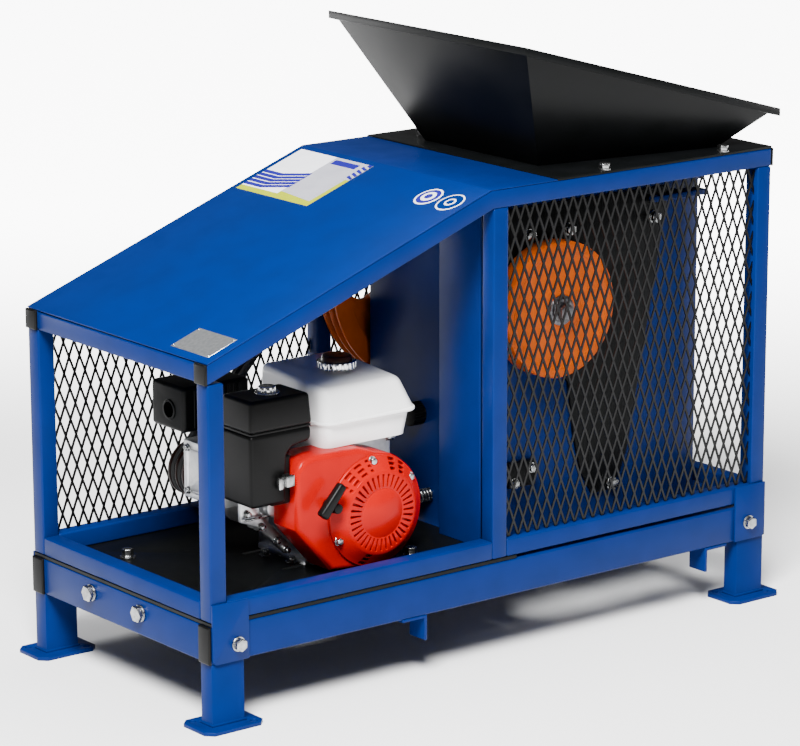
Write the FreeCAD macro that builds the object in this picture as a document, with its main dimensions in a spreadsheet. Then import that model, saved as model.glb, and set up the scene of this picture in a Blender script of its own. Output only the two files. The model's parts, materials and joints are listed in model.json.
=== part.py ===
"""Engine-driven jaw crusher on a square-tube stand, as a FreeCAD parametric document.

Millimetres, +Z up. The origin is on the floor, midway between the four feet. +X runs along
the machine from the engine end to the crusher end, and -Y is the side with the recoil starter.

Stations (names ending in _x) are measured from the engine end of the stand, depths (names
ending in _y) from its near side and heights (names ending in _z) from the floor.
"""

import FreeCAD, Part
import os
import re

import Sketcher

SIZES = {
    # stand
    "stand_length": 1150.0, "stand_width": 500.0, "tube": 30.0, "tube_wall": 2.5,
    "beam_base_z": 105.0, "beam_height": 60.0, "beam_wall": 3.0,
    "foot_length": 110.0, "foot_width": 80.0, "foot_thick": 6.0, "foot_chamfer": 12.0,
    "anchor_gap_x": 78.0, "anchor_gap_y": 54.0, "anchor_bore": 12.0,
    "engine_plate_thick": 6.0, "engine_plate_end_x": 604.0,
    "plate_slot_length": 60.0, "plate_slot_width": 11.0, "plate_slot_inset": 14.0,
    "bearer_left_x": 640.0, "bearer_right_x": 1020.0,
    "bracket_left_x": 414.0, "bracket_right_x": 1018.0, "bracket_drop": 42.0,
    "bracket_reach": 44.0, "bracket_width": 40.0, "bracket_thick": 5.0,
    # cage
    "deck_z": 776.0, "canopy_low_z": 577.0, "bend_x": 548.0, "canopy_end_x": 684.0,
    "canopy_sheet": 2.0, "flange_sheet": 4.0, "mesh_sheet": 3.0, "mesh_inset": 8.0,
    "corner_plate_width": 68.0, "corner_plate_thick": 4.0, "end_cap": 4.0,
    "partition_x": 580.0, "partition_near_y": 68.0, "partition_width": 105.0,
    "partition_thick": 4.0,
    # hopper
    "rim_low_z": 843.0, "rim_high_z": 995.0, "rim_left_x": 614.0, "rim_right_x": 1156.0,
    "rim_half_width": 252.0, "hopper_sheet": 3.0, "side_lean": 0.57, "side_depth": 300.0,
    "side_run": 700.0, "side_start": 60.0, "mouth_left_x": 728.0, "mouth_right_x": 1070.0,
    "throat_left_x": 740.0, "throat_right_x": 990.0,
    # crusher body
    "body_left_x": 614.0, "body_right_x": 1075.0, "body_near_y": 97.0, "body_plate": 12.0,
    "body_top_z": 727.0, "top_flange": 22.0, "side_flange": 20.0,
    "side_flange_x": 958.0, "side_flange_z": 695.0, "side_flange_thick": 10.0,
    "cheek_plate": 6.0, "cheek_left_x": 654.0, "cheek_left_z": 490.0, "cheek_back_z": 411.0,
    "cheek_right_x": 1000.0, "cheek_margin": 10.0,
    "toggle_block_x": 655.0, "toggle_block_z": 253.0, "toggle_block_length": 57.0,
    "toggle_block_height": 42.0, "toggle_block_thick": 14.0,
    # shaft, jaws and tension gear
    "shaft_x": 733.0, "shaft_z": 550.0, "shaft_radius": 25.0, "shaft_end": 8.0,
    "lobe_radius": 30.0, "lobe_throw": 4.0, "running_gap": 0.1, "clear_gap": 1.0,
    "seat_gap": 0.3, "housing_radius": 52.0, "housing_depth": 20.0, "jaw_plate": 22.0,
    "jaw_side_gap": 3.0, "jaw_boss_wall": 45.0, "jaw_foot": 60.0, "jaw_shoulder": 60.0,
    "jaw_neck": 20.0, "jaw_back_drop": 60.0, "jaw_top_gap_x": 836.0, "jaw_bottom_gap_x": 885.0,
    "fixed_top_x": 985.0, "fixed_bottom_x": 907.0, "jaw_top_z": 705.0, "jaw_bottom_z": 217.0,
    "toggle_low": 26.0, "toggle_thick": 16.0, "toggle_rise": 18.0,
    "rod_radius": 7.0, "rod_length": 58.0, "spring_radius": 12.0, "spring_length": 46.0,
    "rod_y": 238.0, "rod_z": 219.0, "knob_radius": 20.0, "knob_length": 24.0, "knob_y": 268.0,
    "knob_z": 353.0,
    # flywheels and drive
    "flywheel_radius": 119.0, "flywheel_near_y": 52.0, "flywheel_thick": 32.0,
    "flywheel_edge": 3.0, "hub_radius": 38.0, "driven_radius": 184.0, "rim_gap": 12.0,
    "rim_width": 45.0, "rim_depth": 34.0, "web_thick": 14.0, "web_hole_radius": 35.0,
    "web_hole_ring": 110.0, "web_holes": 6, "groove_pitch": 19.0, "groove_top": 15.0,
    "groove_floor": 9.0, "groove_depth": 12.0, "belt_width": 9.6, "belt_thick": 9.0,
    "belt_lift": 3.0, "driver_x": 284.0, "driver_z": 275.0, "driver_radius": 47.0,
    "driver_shaft_radius": 12.0,
    # engine
    "crank_x": 380.0, "crank_z": 273.0, "recoil_near_y": 66.0, "recoil_radius": 70.0,
    "recoil_depth": 22.0, "recoil_edge": 6.0, "fan_far_y": 150.0, "fan_radius": 101.0,
    "fan_wing": 165.0, "fan_wing_inset": 14.0, "fan_wing_low": 58.0, "block_far_y": 300.0,
    "block_left_x": 304.0, "block_right_x": 462.0, "case_depth": 48.0, "case_radius": 60.0,
    "head_left_x": 165.0, "head_thick": 36.0, "head_near_y": 190.0, "head_far_y": 296.0,
    "head_low_z": 271.0, "head_high_z": 361.0, "barrel_inset": 8.0,
    "tank_left_x": 292.0, "tank_right_x": 486.0, "tank_near_y": 100.0, "tank_far_y": 286.0,
    "tank_low_z": 375.0, "tank_seam_z": 413.0, "tank_top_z": 485.0, "tank_seam_step": 8.0,
    "tank_slope_x": 50.0, "cap_x": 392.0, "cap_y": 186.0, "cap_radius": 27.0,
    "cap_height": 20.0, "cleaner_left_x": 149.0, "cleaner_right_x": 270.0,
    "cleaner_near_y": 100.0, "cleaner_far_y": 186.0, "cleaner_low_z": 293.0,
    "cleaner_top_z": 475.0, "muffler_left_x": 160.0, "muffler_right_x": 290.0,
    "muffler_near_y": 298.0, "muffler_far_y": 390.0, "muffler_low_z": 389.0,
    "muffler_top_z": 465.0, "outlet_radius": 11.0, "outlet_depth": 30.0, "elbow": 40.0,
    "elbow_rise": 50.0, "elbow_x": 230.0,
}

DERIVED = {
    # faces and places that follow from the sizes above
    "beam_top_z": "beam_base_z + beam_height",
    "rail_base_z": "beam_top_z + engine_plate_thick",
    "rail_top_z": "rail_base_z + tube",
    "far_y": "stand_width - tube",
    "inside_width": "stand_width - 2 * tube",
    "slope": "(deck_z - canopy_low_z) / bend_x",
    "slope_stretch": "sqrt(1 + slope ^ 2)",
    "slope_drop": "tube * slope_stretch",
    "bend_shift": "(slope_stretch - 1) / slope",
    "mid_post_x": "bend_x + tube * bend_shift",
    "deck_base_z": "deck_z - tube",
    "hopper_base_z": "deck_z + flange_sheet",
    "rim_slope": "(rim_high_z - rim_low_z) / (rim_right_x - rim_left_x)",
    "body_far_y": "stand_width - body_near_y",
    "inner_near_y": "body_near_y + body_plate",
    "inner_width": "stand_width - 2 * inner_near_y",
    "inner_far_y": "body_far_y - body_plate",
    "arm_near_y": "inner_near_y + housing_depth + jaw_side_gap",
    "arm_width": "inner_width - 2 * housing_depth - 2 * jaw_side_gap",
    "jaw_back_x": "jaw_bottom_gap_x - jaw_foot",
    "jaw_back_z": "shaft_z - jaw_back_drop",
    "jaw_back_lean": "(jaw_back_x - shaft_x) / (jaw_back_z - jaw_bottom_z)",
    "front_inner_x": "body_left_x + body_plate",
    "rear_inner_x": "body_right_x - body_plate",
    "foot_flange": "stand_length - tube - clear_gap - body_right_x",
    "rim_near_y": "body_far_y + rim_gap",
    "belt_y": "rim_near_y + rim_width / 2",
    "fan_near_y": "recoil_near_y + recoil_depth",
    "case_far_y": "block_far_y + case_depth",
    "elbow_near_y": "head_far_y - barrel_inset",
}

document = FreeCAD.newDocument("JawCrusher")
sheet = document.addObject("Spreadsheet::Sheet", "Sizes")
pieces = []


def write_sheet():
    """Puts each driving size and each derived place in a named cell of the sheet."""
    names = list(SIZES) + list(DERIVED)
    for row, name in enumerate(names, start=1):
        cell = "B%d" % row
        sheet.set("A%d" % row, name)
        sheet.set(cell, str(SIZES[name]) if name in SIZES else "=" + DERIVED[name])
        sheet.setAlias(cell, name)
    document.recompute()


def bound(expression):
    """Returns the expression with each cell name pointing into the sheet."""
    known = set(SIZES) | set(DERIVED)

    def point(match):
        word = match.group(0)
        return "Sizes." + word if word in known else word

    return re.sub(r"[A-Za-z_]\w*", point, str(expression))


def bind(item, field, expression):
    item.setExpression(field, bound(expression))


def place(item, x, y, z, rotation=None):
    """Places an object by station, depth and height."""
    if rotation is not None:
        item.Placement = FreeCAD.Placement(FreeCAD.Vector(), rotation)
    bind(item, "Placement.Base.x", "%s - stand_length / 2" % x)
    bind(item, "Placement.Base.y", "%s - stand_width / 2" % y)
    bind(item, "Placement.Base.z", z)


ALONG_Y = FreeCAD.Rotation(FreeCAD.Vector(1, 0, 0), -90)
ALONG_X = FreeCAD.Rotation(FreeCAD.Vector(0, 1, 0), 90)


def add(kind, label):
    item = document.addObject(kind, "Item")
    item.Label = label
    return item


def box(label, x, y, z, length, width, height):
    item = add("Part::Box", label)
    bind(item, "Length", length)
    bind(item, "Width", width)
    bind(item, "Height", height)
    place(item, x, y, z)
    return item


def rod(label, x, y, z, radius, length, rotation=None):
    item = add("Part::Cylinder", label)
    bind(item, "Radius", radius)
    bind(item, "Height", length)
    place(item, x, y, z, rotation)
    return item


def cut(label, base, *tools):
    tool = tools[0] if len(tools) == 1 else fuse(label + " tools", *tools)
    item = add("Part::Cut", label)
    item.Base = base
    item.Tool = tool
    return item


def fuse(label, *shapes):
    item = add("Part::MultiFuse", label)
    item.Shapes = list(shapes)
    return item


def group(label, *shapes):
    """One node that holds several like pieces which don't touch."""
    item = add("Part::Compound", label)
    item.Links = list(shapes)
    return item


def tube_box(label, x, y, z, length, width, height, along, wall):
    """A square or oblong tube, open at both ends along X, Y or Z."""
    outer = box(label + " outer", x, y, z, length, width, height)
    thick = "2 * %s" % wall
    inner_place = [x, y, z]
    inner_size = [length, width, height]
    for index, axis in enumerate("XYZ"):
        if axis != along:
            inner_place[index] = "%s + %s" % (inner_place[index], wall)
            inner_size[index] = "%s - %s" % (inner_size[index], thick)
    inner = box(label + " bore", *inner_place, *inner_size)
    return cut(label, outer, inner)


def keep(item):
    """Marks a finished sub-part: its Label is its node's name."""
    pieces.append(item)
    return item


# ---------------------------------------------------------------- sketches


def plane(body, role):
    return [f for f in body.Origin.OriginFeatures if f.Role == role][0]


def new_body(label):
    body = document.addObject("PartDesign::Body", "Body")
    body.Label = label
    return body


def new_sketch(body, role):
    sketch = body.newObject("Sketcher::SketchObject", "Sketch")
    sketch.AttachmentSupport = [(plane(body, role), "")]
    sketch.MapMode = "FlatFace"
    return sketch


def pin_point(sketch, line, end, horizontal, vertical):
    """Fixes one point of the sketch by its two distances from the sketch's origin."""
    for kind, value in (("DistanceX", horizontal), ("DistanceY", vertical)):
        index = sketch.addConstraint(Sketcher.Constraint(kind, -1, 1, line, end, 10.0))
        sketch.setExpression("Constraints[%d]" % index, bound(value))


def outline(sketch, points):
    """Draws a closed outline of straight lines through points given as expressions."""
    first = sketch.GeometryCount
    count = len(points)
    turn = FreeCAD.Rotation(FreeCAD.Vector(0, 0, 1), 360.0 / count)
    corner = FreeCAD.Vector(100, 0, 0)
    for _ in points:
        following = turn.multVec(corner)
        sketch.addGeometry(Part.LineSegment(corner, following), False)
        corner = following
    for index in range(count):
        following = first + (index + 1) % count
        sketch.addConstraint(Sketcher.Constraint("Coincident", first + index, 2, following, 1))
    for index, (horizontal, vertical) in enumerate(points):
        pin_point(sketch, first + index, 1, horizontal, vertical)


def circle(sketch, horizontal, vertical, radius):
    line = sketch.addGeometry(Part.Circle(FreeCAD.Vector(50, 50, 0), FreeCAD.Vector(0, 0, 1), 10))
    index = sketch.addConstraint(Sketcher.Constraint("Radius", line, 10.0))
    sketch.setExpression("Constraints[%d]" % index, bound(radius))
    pin_point(sketch, line, 3, horizontal, vertical)


def pad(body, sketch, length, reverse=False):
    feature = body.newObject("PartDesign::Pad", "Pad")
    feature.Profile = sketch
    bind(feature, "Length", length)
    feature.Reversed = reverse
    return feature


def pocket_through(body, sketch):
    feature = body.newObject("PartDesign::Pocket", "Pocket")
    feature.Profile = sketch
    feature.Type = "ThroughAll"
    feature.Midplane = True
    return feature


def side_profile(label, points, near_y, thick, holes=()):
    """A plate or block with a side outline in stations and heights, and its depth along +Y."""
    body = new_body(label)
    sketch = new_sketch(body, "XZ_Plane")
    outline(sketch, points)
    for hole in holes:
        circle(sketch, *hole)
    pad(body, sketch, thick, reverse=True)
    place(body, "0", near_y, "0")
    return body


def turned(label, points, x, y, z, bores=()):
    """A wheel or disc turned about its own Y axis: points are (radius, depth) pairs."""
    body = new_body(label)
    sketch = new_sketch(body, "XZ_Plane")
    outline(sketch, points)
    feature = body.newObject("PartDesign::Revolution", "Revolution")
    feature.Profile = sketch
    feature.ReferenceAxis = (sketch, ["V_Axis"])
    feature.Angle = 360.0
    if bores:
        ring, radius, count = bores
        hole_sketch = new_sketch(body, "XY_Plane")
        circle(hole_sketch, ring, "0", radius)
        hole = pocket_through(body, hole_sketch)
        pattern = body.newObject("PartDesign::PolarPattern", "PolarPattern")
        pattern.Originals = [hole]
        pattern.Axis = (hole_sketch, ["N_Axis"])
        pattern.Angle = 360.0
        bind(pattern, "Occurrences", count)
        body.Tip = pattern
    place(body, x, y, z, ALONG_Y)
    return body


# ---------------------------------------------------------------- stand


def make_base_frame():
    for side, depth in (("near", "0"), ("far", "far_y")):
        keep(tube_box("base_beam_" + side, "0", depth, "beam_base_z",
                      "stand_length", "tube", "beam_height", "X", "beam_wall"))
    stations = ("0", "bearer_left_x", "bearer_right_x", "stand_length - tube")
    bars = [tube_box("crossbar %d" % number, station, "tube", "beam_base_z",
                     "tube", "inside_width", "beam_height", "Y", "beam_wall")
            for number, station in enumerate(stations, start=1)]
    keep(group("base_crossbars", *bars))


def make_leg(name, leg_x, leg_y):
    """An oblong tube leg welded to a chamfered foot plate with two anchor holes."""
    leg = tube_box(name + " tube", leg_x, leg_y, "foot_thick", "2 * tube", "tube",
                   "beam_base_z - foot_thick", "Z", "beam_wall")
    foot = new_body(name + " foot plate")
    sketch = new_sketch(foot, "XY_Plane")
    half_x, half_y, corner = "foot_length / 2", "foot_width / 2", "foot_chamfer"
    outline(sketch, [
        ("-%s" % half_x, "-(%s - %s)" % (half_y, corner)),
        ("-(%s - %s)" % (half_x, corner), "-%s" % half_y),
        ("%s - %s" % (half_x, corner), "-%s" % half_y),
        (half_x, "-(%s - %s)" % (half_y, corner)),
        (half_x, "%s - %s" % (half_y, corner)),
        ("%s - %s" % (half_x, corner), half_y),
        ("-(%s - %s)" % (half_x, corner), half_y),
        ("-%s" % half_x, "%s - %s" % (half_y, corner)),
    ])
    circle(sketch, "-anchor_gap_x / 2", "anchor_gap_y / 2", "anchor_bore / 2")
    circle(sketch, "anchor_gap_x / 2", "-anchor_gap_y / 2", "anchor_bore / 2")
    pad(foot, sketch, "foot_thick")
    place(foot, "%s + tube" % leg_x, "%s + tube / 2" % leg_y, "0")
    keep(fuse(name, leg, foot))


def make_legs():
    for end, leg_x in (("left", "0"), ("right", "stand_length - 2 * tube")):
        for side, leg_y in (("near", "0"), ("far", "far_y")):
            make_leg("leg_%s_%s" % (side, end), leg_x, leg_y)


def make_engine_plate():
    plate = box("engine plate blank", "0", "0", "beam_top_z",
                "engine_plate_end_x", "stand_width", "engine_plate_thick")
    slots = []
    for slot_x in ("block_left_x + plate_slot_inset", "block_right_x - plate_slot_inset"):
        for slot_y in ("fan_far_y + plate_slot_inset",
                       "block_far_y - plate_slot_inset - plate_slot_width"):
            slots.append(box("engine slot", "%s - plate_slot_length" % slot_x, slot_y, "beam_top_z",
                             "plate_slot_length", "plate_slot_width", "engine_plate_thick"))
    keep(cut("engine_plate", plate, *slots))


def make_bracket(name, station, reach_left, depth):
    """A bent strap that hangs under a base beam, with its foot welded to the beam."""
    drop = box(name + " drop", station, depth, "beam_base_z - bracket_drop",
               "bracket_thick", "bracket_width", "bracket_drop")
    start = "%s - bracket_reach" % station if reach_left else "%s + bracket_thick" % station
    foot = box(name + " foot", start, depth, "beam_base_z - bracket_thick",
               "bracket_reach", "bracket_width", "bracket_thick")
    return fuse(name, drop, foot)


def make_brackets():
    brackets = []
    for depth in ("0", "stand_width - bracket_width"):
        brackets.append(make_bracket("left bracket", "bracket_left_x", True, depth))
        brackets.append(make_bracket("right bracket", "bracket_right_x", False, depth))
    keep(group("chute_brackets", *brackets))


# ---------------------------------------------------------------- cage


def make_lower_rails():
    rails = []
    for depth in ("0", "far_y"):
        rails.append(tube_box("lower rail left bay", "tube", depth, "rail_base_z",
                              "mid_post_x - tube", "tube", "tube", "X", "tube_wall"))
        rails.append(tube_box("lower rail right bay", "mid_post_x + tube", depth, "rail_base_z",
                              "stand_length - mid_post_x - 2 * tube", "tube", "tube", "X",
                              "tube_wall"))
    for station in ("0", "stand_length - tube"):
        rails.append(tube_box("lower end rail", station, "tube", "rail_base_z",
                              "tube", "inside_width", "tube", "Y", "tube_wall"))
    keep(group("cage_lower_rails", *rails))


def make_posts():
    """The corner posts and the posts under the rails' bend."""
    left_height = "canopy_low_z - slope_drop - rail_base_z"
    full_height = "deck_base_z - rail_base_z"
    spots = (("left", "0", left_height), ("mid", "mid_post_x", full_height),
             ("right", "stand_length - tube", full_height))
    for end, station, height in spots:
        for side, depth in (("near", "0"), ("far", "far_y")):
            keep(tube_box("cage_post_%s_%s" % (side, end), station, depth, "rail_base_z",
                          "tube", "tube", height, "Z", "tube_wall"))


def rail_outline(inset):
    """The bent rail's side outline, drawn in from its top and bottom faces by an inset."""
    low, high = "(tube - %s)" % inset, "(%s)" % inset
    return [
        ("0", "canopy_low_z - slope_stretch * " + low),
        ("bend_x + bend_shift * " + low, "deck_z - " + low),
        ("stand_length", "deck_z - " + low),
        ("stand_length", "deck_z - " + high),
        ("bend_x + bend_shift * " + high, "deck_z - " + high),
        ("0", "canopy_low_z - slope_stretch * " + high),
    ]


def make_top_rails():
    """Each side rail climbs from the engine end to the bend, then runs level to the end."""
    for side, depth in (("near", "0"), ("far", "far_y")):
        outer = side_profile("top rail outer", rail_outline("0"), depth, "tube")
        bore = side_profile("top rail bore", rail_outline("tube_wall"),
                            "%s + tube_wall" % depth, "tube - 2 * tube_wall")
        keep(cut("top_rail_" + side, outer, bore))
    low_bar = tube_box("low cross rail", "0", "tube", "canopy_low_z - slope_drop",
                       "tube", "inside_width", "tube", "Y", "tube_wall")
    bend_bar = tube_box("bend cross rail", "mid_post_x", "tube", "deck_base_z",
                        "tube", "inside_width", "tube", "Y", "tube_wall")
    end_bar = tube_box("end cross rail", "stand_length - tube", "tube", "deck_base_z",
                       "tube", "inside_width", "tube", "Y", "tube_wall")
    keep(group("cage_cross_rails", low_bar, bend_bar, end_bar))


def make_canopy():
    keep(side_profile("canopy_sheet", [
        ("0", "canopy_low_z"),
        ("bend_x", "deck_z"),
        ("canopy_end_x", "deck_z"),
        ("canopy_end_x", "deck_z + canopy_sheet"),
        ("bend_x - bend_shift * canopy_sheet", "deck_z + canopy_sheet"),
        ("0", "canopy_low_z + slope_stretch * canopy_sheet"),
    ], "0", "stand_width"))


def make_mesh_panels():
    """Expanded-metal guards, each a flat panel inside its bay."""
    high = "deck_base_z - rail_top_z"
    right_length = "stand_length - mid_post_x - 2 * tube"
    for side, depth in (("near", "mesh_inset"), ("far", "stand_width - mesh_inset - mesh_sheet")):
        keep(box("mesh_%s_right" % side, "mid_post_x + tube", depth, "rail_top_z",
                 right_length, "mesh_sheet", high))
    keep(side_profile("mesh_far_left", [
        ("tube", "rail_top_z"),
        ("mid_post_x", "rail_top_z"),
        ("mid_post_x", "deck_base_z"),
        ("tube", "canopy_low_z - slope_drop + slope * tube"),
    ], "stand_width - mesh_inset - mesh_sheet", "mesh_sheet"))


def make_corner_plates():
    """Flat plates that tie each cage corner to the base beam with one bolt."""
    plates = []
    for depth in ("-corner_plate_thick", "stand_width"):
        for station in ("0", "stand_length - corner_plate_width"):
            plates.append(box("corner plate", station, depth, "beam_base_z",
                              "corner_plate_width", "corner_plate_thick",
                              "rail_base_z - beam_base_z"))
    keep(group("corner_plates", *plates))


def make_end_caps():
    caps = []
    for depth in ("0", "far_y"):
        caps.append(box("beam cap", "-end_cap", depth, "beam_base_z", "end_cap", "tube",
                        "beam_height"))
        caps.append(box("beam cap", "stand_length", depth, "beam_base_z", "end_cap", "tube",
                        "beam_height"))
        caps.append(box("rail cap", "-end_cap", depth, "canopy_low_z - slope_drop", "end_cap",
                        "tube", "slope_drop"))
        caps.append(box("rail cap", "stand_length", depth, "deck_base_z", "end_cap", "tube",
                        "tube"))
    keep(group("end_caps", *caps))


def make_partition():
    """A tall plate with a bolted foot between the engine and the crusher."""
    keep(side_profile("partition_plate", [
        ("partition_x", "rail_base_z"),
        ("engine_plate_end_x", "rail_base_z"),
        ("engine_plate_end_x", "rail_base_z + partition_thick"),
        ("partition_x + partition_thick", "rail_base_z + partition_thick"),
        ("partition_x + partition_thick", "deck_base_z"),
        ("partition_x", "deck_base_z"),
    ], "partition_near_y", "partition_width"))


# ---------------------------------------------------------------- hopper


def make_hopper_flange():
    plate = box("hopper flange blank", "canopy_end_x", "0", "deck_z",
                "stand_length - canopy_end_x", "stand_width", "flange_sheet")
    throat = box("throat", "throat_left_x", "inner_near_y", "deck_z",
                 "throat_right_x - throat_left_x", "inner_width", "flange_sheet")
    keep(cut("hopper_flange", plate, throat))


def hopper_solid(label, shrink):
    """What the hopper's end sheets and side sheets enclose, drawn in by the shrink all round.

    The ends are cut from a side outline. The sides lean evenly along the sloping rim, so they
    are cut from an end outline that is turned to run along it.
    """
    half = "(rim_half_width - %s)" % shrink
    ends = side_profile(label + " ends", [
        ("mouth_left_x + %s" % shrink, "hopper_base_z"),
        ("mouth_right_x - %s" % shrink, "hopper_base_z"),
        ("rim_right_x - %s" % shrink, "rim_low_z + rim_slope * %s" % shrink),
        ("rim_left_x + %s" % shrink, "rim_high_z - rim_slope * %s" % shrink),
    ], "stand_width / 2 - " + half, "2 * " + half)
    foot = "(%s - side_lean * sqrt(1 + rim_slope ^ 2) * side_depth)" % half
    sides = new_body(label + " sides")
    sketch = new_sketch(sides, "YZ_Plane")
    outline(sketch, [
        ("-" + half, "side_depth + clear_gap"), ("-" + half, "side_depth"), ("-" + foot, "0"),
        (foot, "0"), (half, "side_depth"), (half, "side_depth + clear_gap"),
    ])
    pad(sides, sketch, "side_run")
    sides.Placement = FreeCAD.Placement(FreeCAD.Vector(),
                                        FreeCAD.Rotation(FreeCAD.Vector(0, 1, 0), 10))
    bind(sides, "Placement.Rotation.Angle", "atan(rim_slope)")
    bind(sides, "Placement.Base.x", "rim_left_x - side_start - stand_length / 2"
         " - side_depth * sin(atan(rim_slope))")
    bind(sides, "Placement.Base.z", "rim_high_z + rim_slope * side_start"
         " - side_depth * cos(atan(rim_slope))")
    solid = add("Part::MultiCommon", label)
    solid.Shapes = [ends, sides]
    return solid


def make_hopper():
    """Four flat sheets between a level mouth and a rim that slopes down to the crusher end."""
    keep(cut("hopper", hopper_solid("hopper outer", "0"),
             hopper_solid("hopper inner", "hopper_sheet")))


# ---------------------------------------------------------------- crusher


def make_side_plates():
    """Welded side walls, each with a bearing boss, the shaft's bore and an outside flange."""
    for side, depth, boss_y, flange_y in (
            ("near", "body_near_y", "inner_near_y", "body_near_y - side_flange"),
            ("far", "inner_far_y", "inner_far_y - housing_depth", "body_far_y")):
        plate = side_profile("side plate blank", [
            ("front_inner_x", "beam_top_z"), ("body_right_x", "beam_top_z"),
            ("body_right_x", "body_top_z"), ("front_inner_x", "body_top_z"),
        ], depth, "body_plate")
        boss = rod("bearing boss", "shaft_x", boss_y, "shaft_z", "housing_radius",
                   "housing_depth", ALONG_Y)
        flange = box("side flange", "side_flange_x", flange_y, "side_flange_z",
                     "body_right_x - side_flange_x", "side_flange", "side_flange_thick")
        cheek_room = box("cheek room", "side_flange_x", "body_near_y - cheek_plate - clear_gap",
                         "side_flange_z", "cheek_right_x + clear_gap - side_flange_x",
                         "body_far_y - body_near_y + 2 * (cheek_plate + clear_gap)",
                         "side_flange_thick")
        bore = rod("shaft bore", "shaft_x", "body_near_y - body_plate", "shaft_z",
                   "shaft_radius + running_gap", "stand_width - body_near_y", ALONG_Y)
        keep(cut("side_plate_" + side, fuse("side plate body", plate, boss,
                                            cut("trimmed flange", flange, cheek_room)), bore))


def make_cheek_plates():
    """Wedge-shaped stiffeners bolted outside the side walls, as wide as the jaws at each height."""
    points = [
        ("cheek_left_x", "body_top_z - cheek_margin"),
        ("cheek_left_x", "cheek_left_z"),
        ("shaft_x + shaft_radius", "cheek_left_z - 4 * cheek_margin"),
        ("jaw_top_gap_x - 48", "cheek_back_z"),
        ("jaw_top_gap_x - 36", "cheek_back_z - 89"),
        ("jaw_top_gap_x - 19", "cheek_back_z - 157"),
        ("jaw_top_gap_x + 6", "jaw_bottom_z - cheek_margin / 2"),
        ("fixed_bottom_x - 28", "jaw_bottom_z - cheek_margin / 2"),
        ("fixed_bottom_x - 5", "jaw_bottom_z + 2 * cheek_margin"),
        ("fixed_bottom_x + 11", "jaw_bottom_z + 6 * cheek_margin"),
        ("fixed_top_x + 2", "body_top_z - 10 * cheek_margin"),
        ("cheek_right_x", "side_flange_z - cheek_margin / 2"),
        ("cheek_right_x", "body_top_z - cheek_margin"),
    ]
    hole = [("shaft_x", "shaft_z", "shaft_radius + clear_gap")]
    keep(side_profile("cheek_plate_near", points, "body_near_y - cheek_plate", "cheek_plate", hole))
    keep(side_profile("cheek_plate_far", points, "body_far_y", "cheek_plate", hole))


def make_end_walls():
    keep(box("front_wall", "body_left_x", "body_near_y", "beam_top_z", "body_plate",
             "body_far_y - body_near_y", "body_top_z - beam_top_z"))
    wall = box("rear wall plate", "rear_inner_x", "inner_near_y", "beam_top_z",
               "body_plate", "inner_width", "body_top_z - beam_top_z")
    top = box("rear top flange", "body_right_x", "inner_near_y", "body_top_z - body_plate",
              "top_flange", "inner_width", "body_plate")
    foot = box("rear foot flange", "body_right_x", "inner_near_y", "beam_top_z",
               "foot_flange", "inner_width", "body_plate")
    keep(fuse("rear_wall", wall, top, foot))


def make_jaws():
    """The fixed jaw stands against the rear wall; the swing jaw hangs on the shaft's lobe."""
    keep(side_profile("fixed_jaw", [
        ("fixed_bottom_x", "jaw_bottom_z"),
        ("rear_inner_x", "jaw_bottom_z"),
        ("rear_inner_x", "jaw_bottom_z + jaw_plate"),
        ("fixed_bottom_x + 1.6 * jaw_plate", "jaw_bottom_z + jaw_plate"),
        ("fixed_top_x + jaw_plate", "jaw_top_z - jaw_plate"),
        ("rear_inner_x", "jaw_top_z - jaw_plate"),
        ("rear_inner_x", "jaw_top_z"),
        ("fixed_top_x", "jaw_top_z"),
    ], "inner_near_y + jaw_side_gap", "inner_width - 2 * jaw_side_gap"))
    head = rod("swing jaw head", "shaft_x", "arm_near_y", "shaft_z",
               "lobe_radius + lobe_throw + jaw_boss_wall", "arm_width", ALONG_Y)
    blade = side_profile("swing jaw blade", [
        ("jaw_top_gap_x - jaw_shoulder", "jaw_top_z - jaw_shoulder"),
        ("shaft_x", "jaw_back_z"),
        ("jaw_back_x", "jaw_bottom_z"),
        ("jaw_bottom_gap_x", "jaw_bottom_z"),
        ("jaw_top_gap_x", "jaw_top_z"),
        ("jaw_top_gap_x - jaw_neck", "jaw_top_z"),
    ], "arm_near_y", "arm_width")
    bore = rod("swing jaw bore", "shaft_x", "0", "shaft_z",
               "lobe_radius + lobe_throw + clear_gap / 2", "stand_width", ALONG_Y)
    keep(cut("swing_jaw", fuse("swing jaw body", head, blade), bore))
    toggle_high = "(toggle_low + toggle_thick)"
    keep(side_profile("toggle_plate", [
        ("front_inner_x", "jaw_bottom_z + %s + toggle_rise" % toggle_high),
        ("front_inner_x", "jaw_bottom_z + toggle_low + toggle_rise"),
        ("jaw_back_x - seat_gap - jaw_back_lean * toggle_low", "jaw_bottom_z + toggle_low"),
        ("jaw_back_x - seat_gap - jaw_back_lean * " + toggle_high,
         "jaw_bottom_z + " + toggle_high),
    ], "arm_near_y", "arm_width"))
    blocks = [box("toggle block", "toggle_block_x", depth, "toggle_block_z",
                  "toggle_block_length", "toggle_block_thick", "toggle_block_height")
              for depth in ("body_near_y - toggle_block_thick", "body_far_y")]
    keep(group("toggle_blocks", *blocks))


def make_tension_gear():
    """The rod that draws the swing jaw back, its spring and the gap adjuster's knob."""
    keep(rod("tension_rod", "body_left_x - rod_length", "rod_y", "rod_z", "rod_radius",
             "rod_length", ALONG_X))
    outer = rod("spring outer", "body_left_x - spring_length", "rod_y", "rod_z",
                "spring_radius", "spring_length", ALONG_X)
    core = rod("spring core", "body_left_x - spring_length", "rod_y", "rod_z",
               "rod_radius + seat_gap", "spring_length", ALONG_X)
    keep(cut("tension_spring", outer, core))
    keep(rod("adjuster_knob", "body_left_x - knob_length", "knob_y", "knob_z", "knob_radius",
             "knob_length", ALONG_X))


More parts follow.
